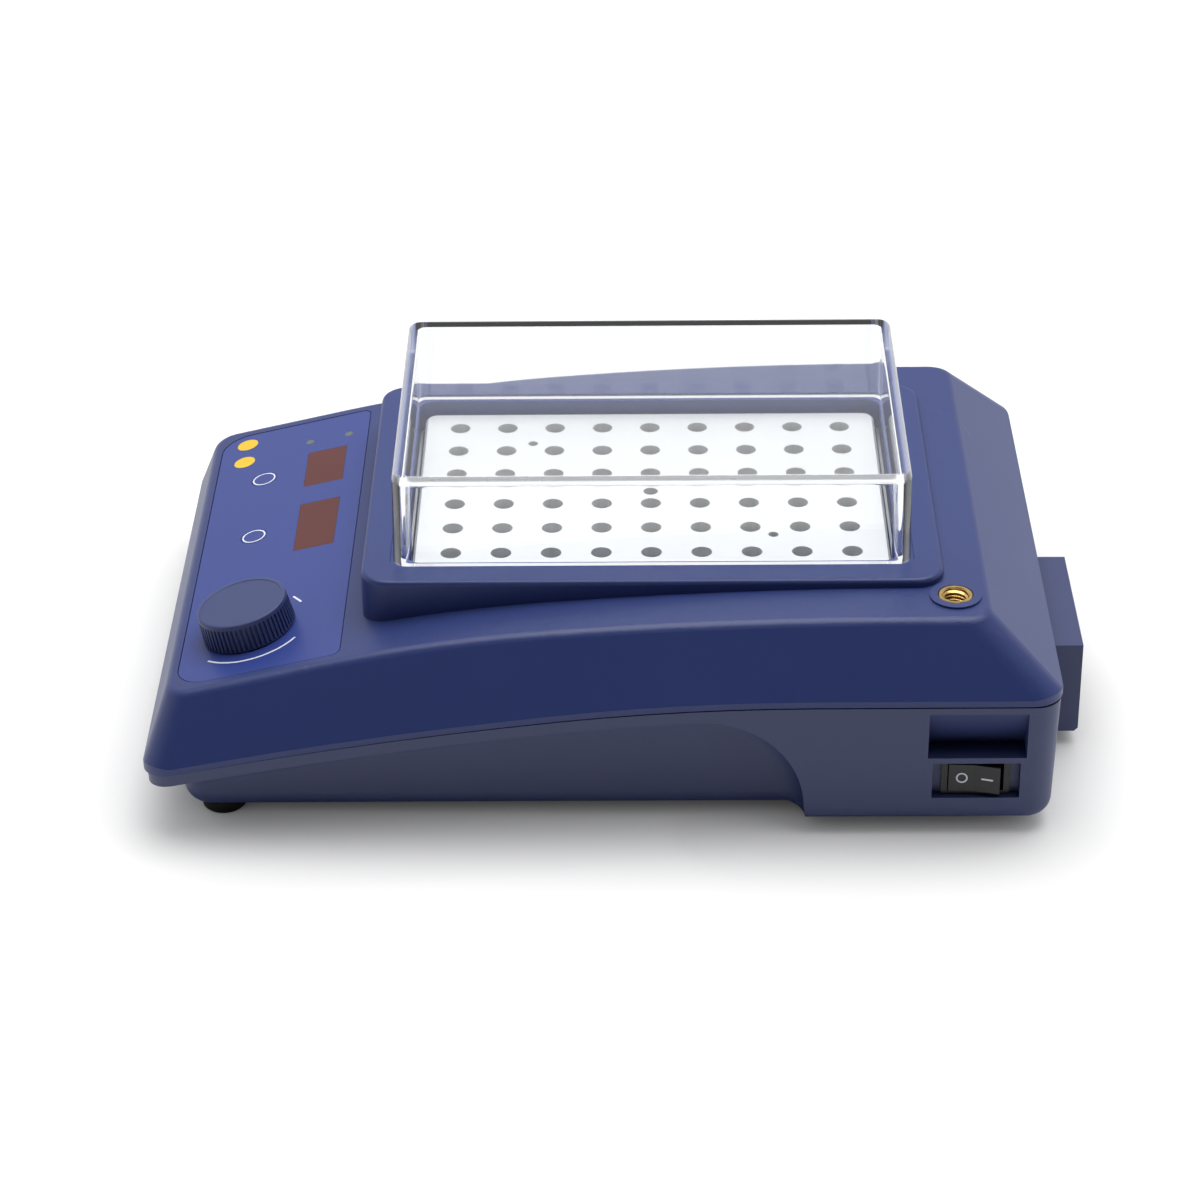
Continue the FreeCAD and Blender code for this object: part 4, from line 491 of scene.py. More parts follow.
NAVY = tone(46, 60, 114)
FILM_BLUE = tone(52, 68, 138)
FINISHES = {
    "casing_upper": Moulding("casing_upper_plastic", NAVY, 0.40, specular=0.42),
    "casing_lower": Moulding("casing_lower_plastic", tone(50, 60, 106), 0.44, specular=0.6),
    "overlay_film": Moulding("overlay_film", FILM_BLUE, 0.34, Grain.FILM, 8e-6, 0.02, 0.03, 0.36),
    "display_window": Moulding(
        "display_window", tone(90, 38, 35), 0.3, Grain.SMOOTH, 4e-6, 0.08, 0.02, 0.36
    ),
    "black_plastic": Moulding("switch_black", tone(26, 26, 29), 0.38, Grain.SATIN, 1e-5),
    "knob_plastic": Moulding(
        "knob_plastic", tone(55, 66, 112), 0.46, Grain.SATIN, 1e-5, specular=0.42
    ),
    "key_plastic": Moulding("key_plastic", FILM_BLUE, 0.34, Grain.FILM, 8e-6, 0.02, 0.03, 0.36),
    "lamp_lens": Moulding("lamp_lens", tone(96, 104, 104), 0.22, Grain.SMOOTH, 4e-6),
    "rocker_plastic": Moulding("rocker_plastic", tone(38, 37, 40), 0.44, Grain.SATIN, 8e-6),
    "foot_rubber": Moulding("foot_rubber", tone(18, 18, 19), 0.78, Grain.SPARKED, 4e-5, 0.12),
    "heater_rubber": Moulding("heater_rubber", tone(150, 66, 48), 0.6, Grain.SATIN, 2e-5),
    "insulation_felt": Moulding(
        "insulation_felt", tone(222, 218, 206), 0.95, Grain.FELT, 3e-4, 0.08
    ),
    "component_black": Moulding("component_black", tone(34, 34, 36), 0.5, Grain.SATIN, 1e-5),
    "terminal_green": Moulding("terminal_green", tone(52, 128, 84), 0.42, Grain.SATIN, 1e-5),
    "fuse_ceramic": Moulding("fuse_ceramic", tone(226, 222, 210), 0.25, Grain.SMOOTH, 4e-6),
    "block_aluminium": Metal(
        "block_aluminium", (0.70, 0.70, 0.695), 0.42, (1.0, 0.03, 1.0), 3.5e-4, bare=0.5
    ),
    "tray_aluminium": Metal("tray_aluminium", (0.74, 0.75, 0.77), 0.42, (0.04, 1.0, 1.0)),
    "sheet_steel": Metal("sheet_steel", (0.60, 0.60, 0.61), 0.38, (0.04, 1.0, 1.0)),
    "screw_steel": Metal("screw_steel", (0.66, 0.66, 0.65), 0.30, (1.0, 1.0, 0.2), 2e-4),
    "insert_brass": Metal("insert_brass", (0.70, 0.48, 0.18), 0.28, (1.0, 1.0, 0.1), 2e-4),
    "contact_brass": Metal("contact_brass", (0.84, 0.74, 0.52), 0.30, (1.0, 0.05, 1.0), 2e-4),
    "circuit_laminate": Laminate("circuit_laminate", tone(22, 74, 40), 0.34),
    "clear_lid": Acrylic("clear_lid", (0.98, 0.99, 1.0), 0.02),
}
INK_WHITE = Moulding("ink_white", tone(226, 230, 240), 0.5, Grain.FILM, 4e-6, 0.03)
INK_YELLOW = Moulding("ink_yellow", tone(232, 190, 20), 0.5, Grain.FILM, 4e-6, 0.03)


class Finisher:
    """Builds each finish once and hands it to the pieces that wear it."""

    def __init__(self) -> None:
        """Start with nothing built."""
        self.made: dict[str, Material] = {}

    def material(self, finish: Finish) -> Material:
        """The material of a finish, built at its first use."""
        if finish.name not in self.made:
            self.made[finish.name] = finish.build()
        return self.made[finish.name]

    def dress(self, piece: Piece, finish: Finish) -> None:
        """Give a piece one material all over."""
        piece.data.materials.clear()
        piece.data.materials.append(self.material(finish))

    def dress_frame(self) -> None:
        """Give every CAD node the finish that its slot in the record asks for."""
        slots = {part["node"]: part["material_slot"] for part in frame["record"]["subparts"]}
        for name, piece in frame["nodes"].items():
            finish = self.material(FINISHES[slots[name]])
            for slot in piece.material_slots:
                slot.material = finish
            LOG.info("node %s wears %s", name, finish.name)


# ---------------------------------------------------------------- modelling


def deselect() -> None:
    """Leave edit mode and deselect every object."""
    if bpy.context.object and bpy.context.object.mode != "OBJECT":
        bpy.ops.object.mode_set(mode="OBJECT")
    bpy.ops.object.select_all(action="DESELECT")


def take(name: str) -> Piece:
    """Name the primitive that was just added.

    Args:
        name: The piece's name.

    Returns:
        The piece, active and selected alone.
    """
    piece = bpy.context.object
    piece.name = name
    piece.data.name = name
    return piece


def focus(piece: Piece) -> None:
    """Make one piece the only selected and active one."""
    deselect()
    piece.select_set(True)
    bpy.context.view_layer.objects.active = piece


@contextmanager
def whole(piece: Piece) -> Iterator[None]:
    """Edit a piece with all of it selected."""
    focus(piece)
    bpy.ops.object.mode_set(mode="EDIT")
    bpy.ops.mesh.select_all(action="SELECT")
    yield
    bpy.ops.object.mode_set(mode="OBJECT")


@contextmanager
def picked(piece: Piece, kind: Pick, test: Test) -> Iterator[None]:
    """Edit a piece with only some of its elements selected.

    Args:
        piece: The piece to edit.
        kind: Whether vertices, edges or faces are picked.
        test: Says whether to pick an element, from its middle and its normal, or its run if
            it is an edge.

    Yields:
        Nothing, in edit mode. Object mode follows.
    """
    focus(piece)
    bpy.ops.object.mode_set(mode="EDIT")
    bpy.ops.mesh.select_mode(type=kind.value)
    bpy.ops.mesh.select_all(action="DESELECT")
    bpy.ops.object.mode_set(mode="OBJECT")
    mesh = piece.data
    if kind is Pick.FACE:
        for face in mesh.polygons:
            face.select = test(face.center, face.normal)
    elif kind is Pick.EDGE:
        for edge in mesh.edges:
            one, two = (mesh.vertices[n].co for n in edge.vertices)
            edge.select = test((one + two) / 2, two - one)
    else:
        for vertex in mesh.vertices:
            vertex.select = test(vertex.co, vertex.normal)
    bpy.ops.object.mode_set(mode="EDIT")
    yield
    bpy.ops.object.mode_set(mode="OBJECT")


def flat_at(level: float, way: int) -> Test:
    """A test for the faces that lie flat at one height.

    Args:
        level: The height.
        way: 1 for faces that look up, -1 for faces that look down.

    Returns:
        The test.
    """
    return lambda middle, normal: way * normal.z > FLAT and abs(middle.z - level) < TOUCH


def extrude(rise: float) -> None:
    """Extrude what is picked along Z."""
    bpy.ops.mesh.extrude_region_move(TRANSFORM_OT_translate={"value": (0, 0, rise)})


def settle(piece: Piece, place: Matrix | None = None) -> Piece:
    """Move a piece to its place and apply that place to its mesh.

    Args:
        piece: The piece, modelled about the origin or in place.
        place: Where it goes, or nothing if it is there already.

    Returns:
        The piece, at the origin and unturned.
    """
    focus(piece)
    if place is not None:
        piece.matrix_world = place @ piece.matrix_world
    bpy.ops.object.transform_apply(location=True, rotation=True, scale=True)
    return piece


def smooth(piece: Piece, angle: float = 30.0) -> None:
    """Shade a piece smooth, apart from edges sharper than an angle in degrees."""
    focus(piece)
    bpy.ops.object.shade_smooth_by_angle(angle=math.radians(angle))


def apply_modifier(piece: Piece, kind: str, **values: object) -> None:
    """Add a modifier with the given values and apply it."""
    focus(piece)
    modifier = piece.modifiers.new(kind.title(), kind)
    for name, value in values.items():
        setattr(modifier, name, value)
    bpy.ops.object.modifier_apply(modifier=modifier.name)


def recalculate(piece: Piece) -> None:
    """Merge a piece's doubles and point its faces outwards."""
    with whole(piece):
        bpy.ops.mesh.remove_doubles(threshold=TOUCH)
        bpy.ops.mesh.normals_make_consistent(inside=False)


def join_pieces(name: str, parts: Sequence[Piece]) -> Piece:
    """Join parts into one piece."""
    deselect()
    for part in parts:
        part.select_set(True)
    bpy.context.view_layer.objects.active = parts[0]
    bpy.ops.object.join()
    return take(name)


def slab(name: str, size: Point, middle: Point = (0, 0, 0)) -> Piece:
    """A plain block.

    Args:
        name: The piece's name.
        size: Its three sides.
        middle: Where its middle is.

    Returns:
        The block, in place.
    """
    deselect()
    bpy.ops.mesh.primitive_cube_add(size=1, location=middle)
    piece = take(name)
    piece.scale = size
    return settle(piece)


def disc(name: str, radius: float, depth: float, facets: int, middle: Point = (0, 0, 0)) -> Piece:
    """A plain cylinder along Z.

    Args:
        name: The piece's name.
        radius: Its radius.
        depth: Its length along Z.
        facets: How many sides it has.
        middle: Where its middle is.

    Returns:
        The cylinder, in place.
    """
    deselect()
    bpy.ops.mesh.primitive_cylinder_add(
        vertices=facets, radius=radius, depth=depth, end_fill_type="NGON", location=middle
    )
    return settle(take(name))


def print_bar(name: str, length: float, stroke: float, ink: float) -> Piece:
    """A printed stroke about the origin, with rounded ends.

    Args:
        name: The piece's name.
        length: How long the stroke is, along X.
        stroke: How wide it is.
        ink: How thick the ink is.

    Returns:
        The stroke.
    """
    bar = slab(name, (length, stroke, ink))
    with picked(bar, Pick.EDGE, lambda middle, run: abs(run.z) > ink / 2):
        bpy.ops.mesh.bevel(offset=stroke * ROUND_END, segments=5)
    return bar


def print_ring(name: str, radius: float, line: float, ink: float) -> Piece:
    """A printed ring about the origin.

    Args:
        name: The piece's name.
        radius: Its outer radius.
        line: How wide its line is.
        ink: How thick the ink is.

    Returns:
        The ring.
    """
    deselect()
    bpy.ops.mesh.primitive_circle_add(vertices=72, radius=radius, fill_type="NGON")
    ring = take(name)
    with picked(ring, Pick.FACE, lambda middle, normal: True):
        bpy.ops.mesh.inset(thickness=line)
        bpy.ops.mesh.delete(type="FACE")
    apply_modifier(ring, "SOLIDIFY", thickness=ink, offset=1.0)
    return ring


@dataclass
class PanelPlane:
    """The sloping control panel, with places measured right, down the slope and out of it."""

    tilt: float = math.radians(13.2)
    rear: float = -0.087
    sink: float = 0.0001

    def matrix(self, right: float, down: float, out: float = 0.0) -> Matrix:
        """The place of a point on the panel, turned so that +Z leaves the panel.

        Args:
            right: Metres to the operator's right of the middle.
            down: Metres down the slope from the overlay's rear edge.
            out: Metres out of the casing's surface.

        Returns:
            The place as a matrix.
        """
        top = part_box("panel_overlay")[1][2] + self.sink * math.cos(self.tilt)
        surface = Matrix.Translation((0, self.rear, top)) @ Matrix.Rotation(self.tilt, 4, "X")
        return surface @ Matrix.Translation((right, -down, out))


# ---------------------------------------------------------------- sub-assemblies


@dataclass
class ControlPanel:
    """Printing on the membrane: the knob's scale, the key rings and two plain spots."""

    finisher: Finisher
    plane: PanelPlane = field(default_factory=PanelPlane)
    ink: float = 0.00005
    film: float = -0.0001
    stroke: float = 0.0007
    knob_centre: tuple[float, float] = (0.0544, 0.0314)
    scale_radius: float = 0.0196
    scale_start: float = math.radians(53)
    scale_sweep: float = math.radians(-91)
    scale_steps: int = 56
    dash_from: tuple[float, float] = (0.0397, 0.0182)
    dash_to: tuple[float, float] = (0.0442, 0.0152)
    key_places: tuple[tuple[str, float], ...] = (("left_key", -0.0461), ("right_key", -0.0065))
    key_down: float = 0.0358
    ring_radius: float = 0.0040
    ring_line: float = 0.0005
    spots: tuple[tuple[float, float], ...] = ((-0.0744, 0.0443), (-0.0617, 0.0443))
    spot_radius: float = 0.0037
    spot_facets: int = 48

    def build_scale(self) -> Piece:
        """The arc beside the knob, spun about the knob's middle from a short stroke."""
        arc = slab("knob_scale", (self.stroke, self.stroke, self.ink), (self.scale_radius, 0, 0))
        with picked(arc, Pick.FACE, lambda middle, normal: normal.y < -FLAT):
            bpy.ops.mesh.spin(
                steps=self.scale_steps, angle=self.scale_sweep, center=(0, 0, 0), axis=(0, 0, -1)
            )
        recalculate(arc)
        place = self.plane.matrix(*self.knob_centre, self.film + self.ink / 2)
        return settle(arc, place @ Matrix.Rotation(self.scale_start, 4, "Z"))

    def build_dash(self) -> Piece:
        """The short stroke to the left of the knob."""
        (x1, d1), (x2, d2) = self.dash_from, self.dash_to
        dash = print_bar("knob_dash", math.hypot(x2 - x1, d2 - d1), self.stroke, self.ink)
        turn = Matrix.Rotation(math.atan2(d1 - d2, x2 - x1), 4, "Z")
        place = self.plane.matrix((x1 + x2) / 2, (d1 + d2) / 2, self.film + self.ink / 2)
        return settle(dash, place @ turn)

    def build_ring(self, key: str, right: float) -> Piece:
        """A printed ring on a key.

        Args:
            key: The key's node and body.
            right: Where the key stands across the panel.

        Returns:
            The ring.
        """
        ring = print_ring(key + "_ring", self.ring_radius, self.ring_line, self.ink)
        return settle(ring, self.plane.matrix(right, self.key_down, self.film))

    def build_spot(self, name: str, right: float, down: float) -> Piece:
        """A plain round spot of ink.

        Args:
            name: The piece's name.
            right: Its place across the panel.
            down: Its place down the panel.

        Returns:
            The spot.
        """
        spot = disc(name, self.spot_radius, self.ink, self.spot_facets)
        with picked(spot, Pick.FACE, lambda middle, normal: normal.z > FLAT):
            bpy.ops.mesh.inset(thickness=self.ink)
        return settle(spot, self.plane.matrix(right, down, self.film + self.ink / 2))

    def build(self) -> None:
        """Print the panel and the keys."""
        for piece in (self.build_scale(), self.build_dash()):
            self.finisher.dress(piece, INK_WHITE)
            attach(piece, "base")
        for key, right in self.key_places:
            ring = self.build_ring(key, right)
            self.finisher.dress(ring, INK_WHITE)
            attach(ring, key)
        for name, (right, down) in zip(("left_spot", "right_spot"), self.spots):
            spot = self.build_spot(name, right, down)
            self.finisher.dress(spot, INK_YELLOW)
            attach(spot, "base")
        LOG.info("panel printed")


@dataclass
class PanelKnob:
    """The ribbed knob: a tapered, fluted skirt under a rounded lip, hollow below."""

    finisher: Finisher
    plane: PanelPlane = field(default_factory=PanelPlane)
    right: float = 0.0544
    down: float = 0.0314
    lift: float = 0.0005
    foot_radius: float = 0.0151
    radius: float = 0.0147
    height: float = 0.0094
    skirt: float = 0.0078
    ribs: int = 60
    flute: float = 0.00055
    slant: float = 0.00016
    edge: float = 0.0007
    rim: float = 0.0007
    dish: float = 0.00015
    wall: float = 0.0022
    hollow: float = 0.0068

    def in_flute(self, middle: Vector, normal: Vector) -> bool:
        """Whether a face of the skirt lies in one of its flutes."""
        step = int(math.atan2(middle.y, middle.x) % math.tau / (math.tau / (4 * self.ribs)))
        return abs(normal.z) < 0.5 and step % 4 in (1, 2)

    def build_skirt(self) -> Piece:
        """The fluted wall, about the origin with its foot at zero.

        Returns:
            The skirt, closed at both ends.
        """
        middle = (0, 0, self.skirt / 2)
        knob = disc("ribbed_knob", self.foot_radius, self.skirt, 4 * self.ribs, middle)
        share = self.radius / self.foot_radius
        with picked(knob, Pick.VERT, lambda place, normal: place.z > self.skirt / 2):
            bpy.ops.transform.resize(value=(share, share, 1))
        with picked(knob, Pick.FACE, self.in_flute):
            bpy.ops.mesh.inset(thickness=self.slant, depth=-self.flute)
        return knob

    def build(self) -> None:
        """Model the knob in the CAD knob's place."""
        knob = self.build_skirt()
        with picked(knob, Pick.FACE, flat_at(self.skirt, 1)):
            extrude(self.height - self.skirt)
        with picked(knob, Pick.EDGE, lambda middle, run: middle.z > self.height - TOUCH):
            bpy.ops.mesh.bevel(offset=self.edge, segments=4)
        with picked(knob, Pick.FACE, flat_at(self.height, 1)):
            bpy.ops.mesh.inset(thickness=self.rim)
            bpy.ops.mesh.inset(thickness=self.dish, depth=-self.dish)
        with picked(knob, Pick.FACE, flat_at(0, -1)):
            bpy.ops.mesh.inset(thickness=self.wall)
            extrude(self.hollow)
        recalculate(knob)
        settle(knob, self.plane.matrix(self.right, self.down, self.lift))
        smooth(knob, 28)
        self.finisher.dress(knob, FINISHES["knob_plastic"])
        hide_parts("knob")
        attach(knob, "knob")
        LOG.info("knob fluted")


@dataclass
class SupportInsert:
    """The brass bush on the rear deck, with a real thread for a support rod."""

    finisher: Finisher
    bore: float = 0.0034
    root: float = 0.00405
    pitch: float = 0.00125
    chamfer: float = 0.0004
    facets: int = 64
    overlap: float = 0.0001
    tooth: float = 0.92
    crest: float = 0.16
    turn_steps: int = 40
    lead_in: float = 0.75
    rim_slack: float = 1.2

    def build_bush(self, low: Vector, high: Vector) -> Piece:
        """The bush's wall, as a pierced cylinder with broken rims.

        Args:
            low: The lowest corner of the space it fills.
            high: The highest corner of that space.

        Returns:
            The bush, in place.
        """
        radius, middle = (high.x - low.x) / 2, (low + high) / 2
        bush = disc("insert_bush", radius, high.z - low.z, self.facets, middle)
        with picked(bush, Pick.FACE, lambda place, normal: abs(normal.z) > FLAT):
            bpy.ops.mesh.inset(thickness=radius - self.root)
            bpy.ops.mesh.bridge_edge_loops()
        recalculate(bush)

        longest = self.rim_slack * math.tau * radius / self.facets

        def on_rim(place: Vector, run: Vector) -> bool:
            """Whether an edge lies on one of the four rims."""
            return abs(run.z) < TOUCH and math.hypot(run.x, run.y) < longest

        with picked(bush, Pick.EDGE, on_rim):
            bpy.ops.mesh.bevel(offset=self.chamfer, segments=1)
        return bush

    def build_thread(self, low: Vector, high: Vector) -> Piece:
        """The thread inside the bush, swept round from one tooth's outline.

        Args:
            low: The lowest corner of the bush.
            high: The highest corner of the bush.

        Returns:
            The thread, in place.
        """
        deselect()
        depth = self.root - self.bore + self.overlap
        bpy.ops.mesh.primitive_plane_add(
            size=1, location=(self.bore + depth / 2, 0, 0), rotation=(math.pi / 2, 0, 0)
        )
        thread = take("insert_thread")
        thread.scale = (depth, self.pitch * self.tooth, 1)
        settle(thread)
        with picked(thread, Pick.EDGE, lambda middle, run: middle.x < self.bore + TOUCH):
            bpy.ops.transform.resize(value=(1, 1, self.crest))
        turns = int((high.z - low.z) / self.pitch) - 1
        apply_modifier(
            thread, "SCREW", axis="Z", angle=math.tau, iterations=turns, screw_offset=self.pitch,
            steps=self.turn_steps, render_steps=self.turn_steps,
            use_merge_vertices=True, merge_threshold=TOUCH,
        )
        with whole(thread):
            bpy.ops.mesh.fill_holes(sides=0)
        recalculate(thread)
        base = high.z - self.pitch * (turns + self.lead_in)
        middle = (low + high) / 2
        smooth(thread, 35)
        return settle(thread, Matrix.Translation((middle.x, middle.y, base)))

    def build(self) -> None:
        """Model the bush and its thread in the CAD insert's place."""
        low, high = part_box("threaded_insert")
        bush = self.build_bush(low, high)
        smooth(bush, 30)
        piece = join_pieces("brass_insert", (bush, self.build_thread(low, high)))
        self.finisher.dress(piece, FINISHES["insert_brass"])
        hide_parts("threaded_insert")
        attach(piece, "base")
        LOG.info("insert threaded")


@dataclass
class PowerSwitch:
    """The off and on marks that are printed on the mains rocker."""

    finisher: Finisher
    ink: float = 0.00006
    ring_radius: float = 0.00185
    ring_line: float = 0.0005
    bar_length: float = 0.0038
    bar_stroke: float = 0.0006
    off_along: float = -0.0040
    on_along: float = 0.0038
    stand_off: float = 0.01

    def face(self, along: float) -> Matrix:
        """The place of a mark on the rocker's outer face, found by looking at it from the side.

        Args:
            along: Metres towards the rear from the rocker's middle.

        Returns:
            A matrix whose +Z leaves the face and whose +X runs to the rear.
        """
        low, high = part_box("rocker")
        middle = (low + high) / 2
        start = Vector((high.x + self.stand_off, middle.y + along, middle.z))
        _, place, normal, _ = frame["nodes"]["rocker"].ray_cast(start, Vector((-1, 0, 0)))
        rise = (Vector((0, 0, 1)) - normal * normal.z).normalized()
        axes = Matrix((rise.cross(normal), rise, normal)).transposed()
        return Matrix.Translation(place) @ axes.to_4x4()

    def build(self) -> None:
        """Print the two marks."""
        ring = print_ring("off_mark", self.ring_radius, self.ring_line, self.ink)
        bar = print_bar("on_mark", self.bar_length, self.bar_stroke, self.ink)
        for mark, along in ((ring, self.off_along), (bar, self.on_along)):
            settle(mark, self.face(along))
            self.finisher.dress(mark, INK_WHITE)
            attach(mark, "rocker")
        LOG.info("rocker marked")


@dataclass
class Screws:
    """Cross-recessed screws that take the place of one CAD node of plain ones."""

    finisher: Finisher
    node: str
    facing: Point
    head_radius: float
    head_height: float
    shank_radius: float = 0.0015
    facets: int = 48
    slot_width: float = 0.00055
    slot_span: float = 0.0031
    slot_depth: float = 0.0009
    slot_turn: float = math.pi / 5
    slot_taper: tuple[float, float] = (0.55, 0.7)
    dome: float = 0.45

    def boxes(self) -> list[Bounds]:
        """The box of each separate screw in the CAD node.

        Returns:
            The lowest and highest corner of each.
        """
        focus(frame["nodes"][self.node])
        bpy.ops.object.duplicate()
        with whole(bpy.context.object):
            bpy.ops.mesh.remove_doubles(threshold=TOUCH)
            bpy.ops.mesh.separate(type="LOOSE")
        found = []
        for piece in bpy.context.selected_objects:
            corners = [Vector(corner) for corner in piece.bound_box]
            found.append((corners[0], corners[6]))
        bpy.ops.object.delete()
        return found

    def build_slot(self, turn: float) -> Piece:
        """A cutter for half of the cross recess.

        Args:
            turn: Its angle about the screw.

        Returns:
            The cutter, sunk into the head's top.
        """
        cutter = slab("slot_cutter", (self.slot_span, self.slot_width, 2 * self.slot_depth))
        with picked(cutter, Pick.VERT, lambda place, normal: place.z < 0):
            bpy.ops.transform.resize(value=(*self.slot_taper, 1))
        return settle(cutter, Matrix.Rotation(turn, 4, "Z"))

    def build_screw(self, length: float) -> Piece:
        """One screw about the origin, with the top of its head at zero and its shank below.

        Args:
            length: The whole screw's length.

        Returns:
            The screw.
        """
        middle = (0, 0, -self.head_height / 2)
        screw = disc("screw", self.head_radius, self.head_height, self.facets, middle)
        with picked(screw, Pick.FACE, lambda middle, normal: normal.z < -FLAT):
            bpy.ops.mesh.inset(thickness=self.head_radius - self.shank_radius)
            extrude(self.head_height - length)
        with picked(screw, Pick.EDGE, lambda middle, run: middle.z > -TOUCH):
            bpy.ops.mesh.bevel(offset=self.head_height * self.dome, segments=4)
        for turn in (0.0, math.pi / 2):
            cutter = self.build_slot(turn + self.slot_turn)
            apply_modifier(screw, "BOOLEAN", object=cutter, operation="DIFFERENCE", solver="EXACT")
            focus(cutter)
            bpy.ops.object.delete()
        smooth(screw, 30)
        return screw

    def build(self) -> None:
        """Put a screw in the place of each one in the node."""
        facing = Vector(self.facing)
        turn = facing.to_track_quat("Z", "X").to_matrix().to_4x4()
        screws = []
        for low, high in self.boxes():
            middle, half = (low + high) / 2, (high - low) / 2
            reach = abs(half.dot(facing))
            screw = self.build_screw(2 * reach)
            screws.append(settle(screw, Matrix.Translation(middle + facing * reach) @ turn))
        piece = join_pieces("recessed_" + self.node, screws)
        self.finisher.dress(piece, FINISHES["screw_steel"])
        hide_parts(self.node)
        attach(piece, "base")
        LOG.info("%s: %d screws", self.node, len(screws))


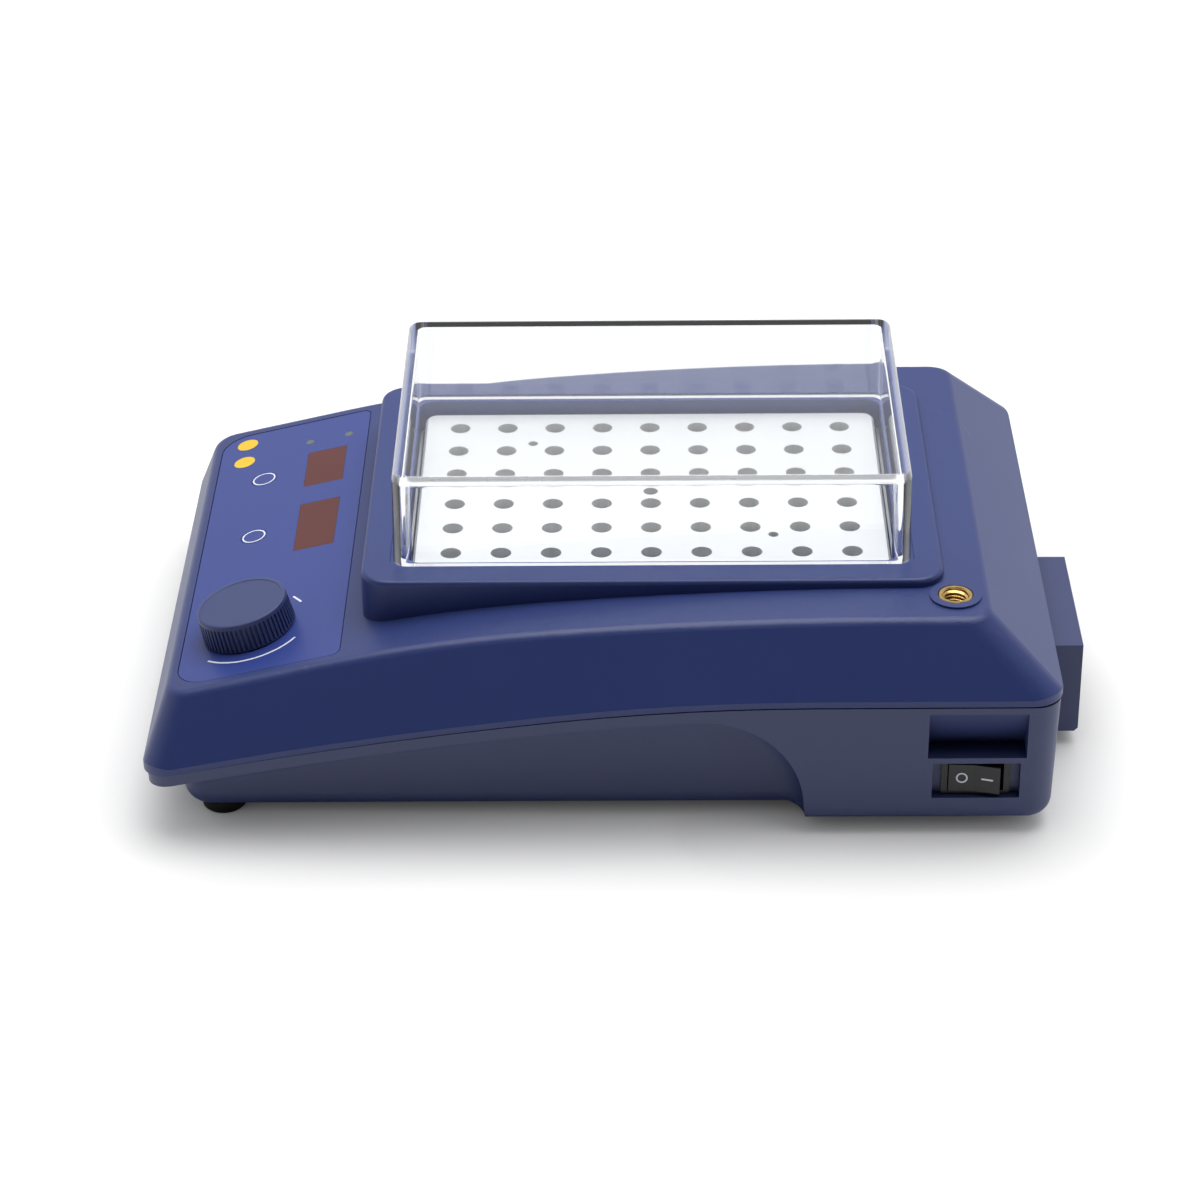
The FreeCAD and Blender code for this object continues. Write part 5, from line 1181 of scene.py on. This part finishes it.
@dataclass
class Studio:
    """Pale floor with a painted glow, white surroundings and soft lamps."""

    floor_half: float = 6.0
    floor_tone: float = 0.88
    # floor_seen is the paper the camera sees; glow, contact, near and far shape the painted glow
    # that lightens the seen floor and its shadows.
    floor_seen: float = 0.58
    floor_roughness: float = 0.9
    floor_specular: float = 0.1
    glow: float = 0.46
    contact: float = 0.045
    near: float = 0.45
    far: float = 1.1
    key_power: float = 17.5
    key_size: tuple[float, float] = (1.3, 1.1)
    key_place: Point = (-0.15, 0.10, 1.25)
    side_power: float = 5.0
    side_size: tuple[float, float] = (1.0, 1.0)
    side_place: Point = (-1.3, -0.35, 0.75)
    horizon: float = 1.0
    aloft: float = 0.52
    sky_band: tuple[float, float] = (0.05, 0.5)
    before: float = 0.05
    shaded_side: Point = (0.86, 0.0, 0.51)
    shade_band: tuple[float, float] = (0.2, 0.75)
    aim: Point = (0.0, 0.0, 0.05)

    def build_floor(self) -> None:
        """Lay the floor: white where no shadow falls, with a painted glow for camera rays that
        lightens it and its cast shadow, held back by occlusion near the part and growing with
        distance from it; clear from below.
        """
        deselect()
        bpy.ops.mesh.primitive_plane_add(size=2 * self.floor_half)
        floor = take("floor")
        with picked(floor, Pick.FACE, lambda middle, normal: True):
            bpy.ops.mesh.subdivide(number_cuts=3)
        material = bpy.data.materials.new("floor_paper")
        material.use_nodes = True
        bench = NodeBench(material.node_tree)
        shader = material.node_tree.nodes["Principled BSDF"]
        shader.inputs["Roughness"].default_value = self.floor_roughness
        shader.inputs["Specular IOR Level"].default_value = self.floor_specular
        shader.inputs["Emission Color"].default_value = (*WHITE, 1)
        seen = bench.add("LightPath").outputs["Is Camera Ray"]
        paper, shown = ((level,) * 3 for level in (self.floor_tone, self.floor_seen))
        bench.join(bench.blend(seen, paper, shown), shader.inputs["Base Color"])
        # Painted light: an emission seen only by the camera, faded by ambient occlusion near the
        # part so its contact shade stays dark, and stronger farther out.
        painted_glow_mask = bench.add("AmbientOcclusion", Distance=self.contact).outputs["AO"]
        length = bench.add("VectorMath")
        length.operation = "LENGTH"
        bench.join(bench.add("TexCoord").outputs["Object"], length.inputs[0])
        glow = bench.add("MapRange", From_Min=self.near, From_Max=self.far, To_Min=self.glow)
        bench.join(length.outputs["Value"], glow.inputs["Value"])
        painted_floor_glow = bench.maths("MULTIPLY", painted_glow_mask, seen)
        painted_floor_glow = bench.maths("MULTIPLY", painted_floor_glow, glow.outputs["Result"])
        bench.join(painted_floor_glow, shader.inputs["Emission Strength"])
        below = bench.add("NewGeometry").outputs["Backfacing"]
        bench.clear_where(below, shader, bench.add("BsdfTransparent"))
        floor.data.materials.append(material)

    def build_world(self) -> None:
        """Light from all round: white at the horizon, softer above, dim behind the camera."""
        world = bpy.data.worlds.new("studio")
        world.use_nodes = True
        bpy.context.scene.world = world
        bench = NodeBench(world.node_tree)
        direction = bench.add("TexCoord").outputs["Generated"]
        parts = bench.add("SeparateXYZ")
        bench.join(direction, parts.inputs["Vector"])
        low, high = self.sky_band
        sky = bench.add(
            "MapRange", From_Min=low, From_Max=high, To_Min=self.horizon, To_Max=self.aloft
        )
        bench.join(parts.outputs["Z"], sky.inputs["Value"])
        towards = bench.add("VectorMath")
        towards.operation = "DOT_PRODUCT"
        towards.inputs[1].default_value = self.shaded_side
        bench.join(direction, towards.inputs[0])
        low, high = self.shade_band
        dimmed = bench.add("MapRange", From_Min=low, From_Max=high, To_Min=1.0, To_Max=self.before)
        bench.join(towards.outputs["Value"], dimmed.inputs["Value"])
        rays = bench.add("LightPath").outputs
        seen = bench.maths("MAXIMUM", rays["Is Camera Ray"], rays["Is Transmission Ray"])
        soft = bench.maths("MULTIPLY", sky.outputs["Result"], dimmed.outputs["Result"])
        backdrop = world.node_tree.nodes["Background"]
        bench.join(bench.maths("MAXIMUM", seen, soft), backdrop.inputs["Strength"])
        backdrop.inputs["Color"].default_value = (*WHITE, 1)

    def build_lamp(
        self, name: str, place: Point, size: tuple[float, float], power: float, mirrored: bool
    ) -> None:
        """Hang one soft lamp that faces the part.

        Args:
            name: The lamp's name.
            place: Where it hangs.
            size: Its width and height.
            power: Its power in watts.
            mirrored: Whether glossy surfaces show it.
        """
        deselect()
        bpy.ops.object.light_add(type="AREA", location=place)
        lamp = bpy.context.object
        lamp.name = name
        lamp.data.shape = "RECTANGLE"
        lamp.data.size, lamp.data.size_y = size
        lamp.data.energy = power
        lamp.visible_glossy = mirrored
        lamp.visible_transmission = False
        lamp.rotation_mode = "QUATERNION"
        lamp.rotation_quaternion = (Vector(self.aim) - Vector(place)).to_track_quat("-Z", "Y")

    def build(self) -> None:
        """Set up the floor, the surroundings and the lamps."""
        self.build_floor()
        self.build_world()
        self.build_lamp("overhead", self.key_place, self.key_size, self.key_power, True)
        self.build_lamp("side", self.side_place, self.side_size, self.side_power, False)
        bpy.context.scene.view_settings.view_transform = "Standard"
        LOG.info("studio set")


@dataclass
class PhotoCamera:
    """The camera at the photograph's own angle."""

    place: Point = (1.0137, 0.0046, 0.6318)
    target: Point = (0.07082, -0.00576, 0.071)
    roll: float = math.radians(-0.6192)
    lens: float = 105.69
    sensor: float = 36.0
    clip: tuple[float, float] = (0.05, 30.0)

    def build(self) -> None:
        """Place the camera and make it the scene's own."""
        data = bpy.data.cameras.new("photo_camera")
        data.lens, data.sensor_width = self.lens, self.sensor
        data.clip_start, data.clip_end = self.clip
        camera = bpy.data.objects.new("photo_camera", data)
        bpy.context.scene.collection.objects.link(camera)
        look = (Vector(self.target) - Vector(self.place)).normalized()
        right = look.cross(Vector((0, 0, 1))).normalized()
        up = right.cross(look)
        level = right * math.cos(self.roll) + up * math.sin(self.roll)
        raised = up * math.cos(self.roll) - right * math.sin(self.roll)
        turned = Matrix((level, raised, -look)).transposed().to_4x4()
        camera.matrix_world = Matrix.Translation(self.place) @ turned
        bpy.context.scene.camera = camera
        LOG.info("camera placed")


def main() -> None:
    """Dress the frame, build what it lacks and light it."""
    logging.basicConfig(level=logging.INFO, format="%(message)s")
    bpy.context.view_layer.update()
    PhotoCamera().build()
    finisher = Finisher()
    finisher.dress_frame()
    ControlPanel(finisher).build()
    PanelKnob(finisher).build()
    SupportInsert(finisher).build()
    PowerSwitch(finisher).build()
    Screws(finisher, "case_screws", (0, 0, -1), 0.0028, 0.0017).build()
    Screws(finisher, "inlet_screws", (0, 1, 0), 0.0028, 0.0015).build()
    Studio().build()


if __name__ == "__main__":
    main()
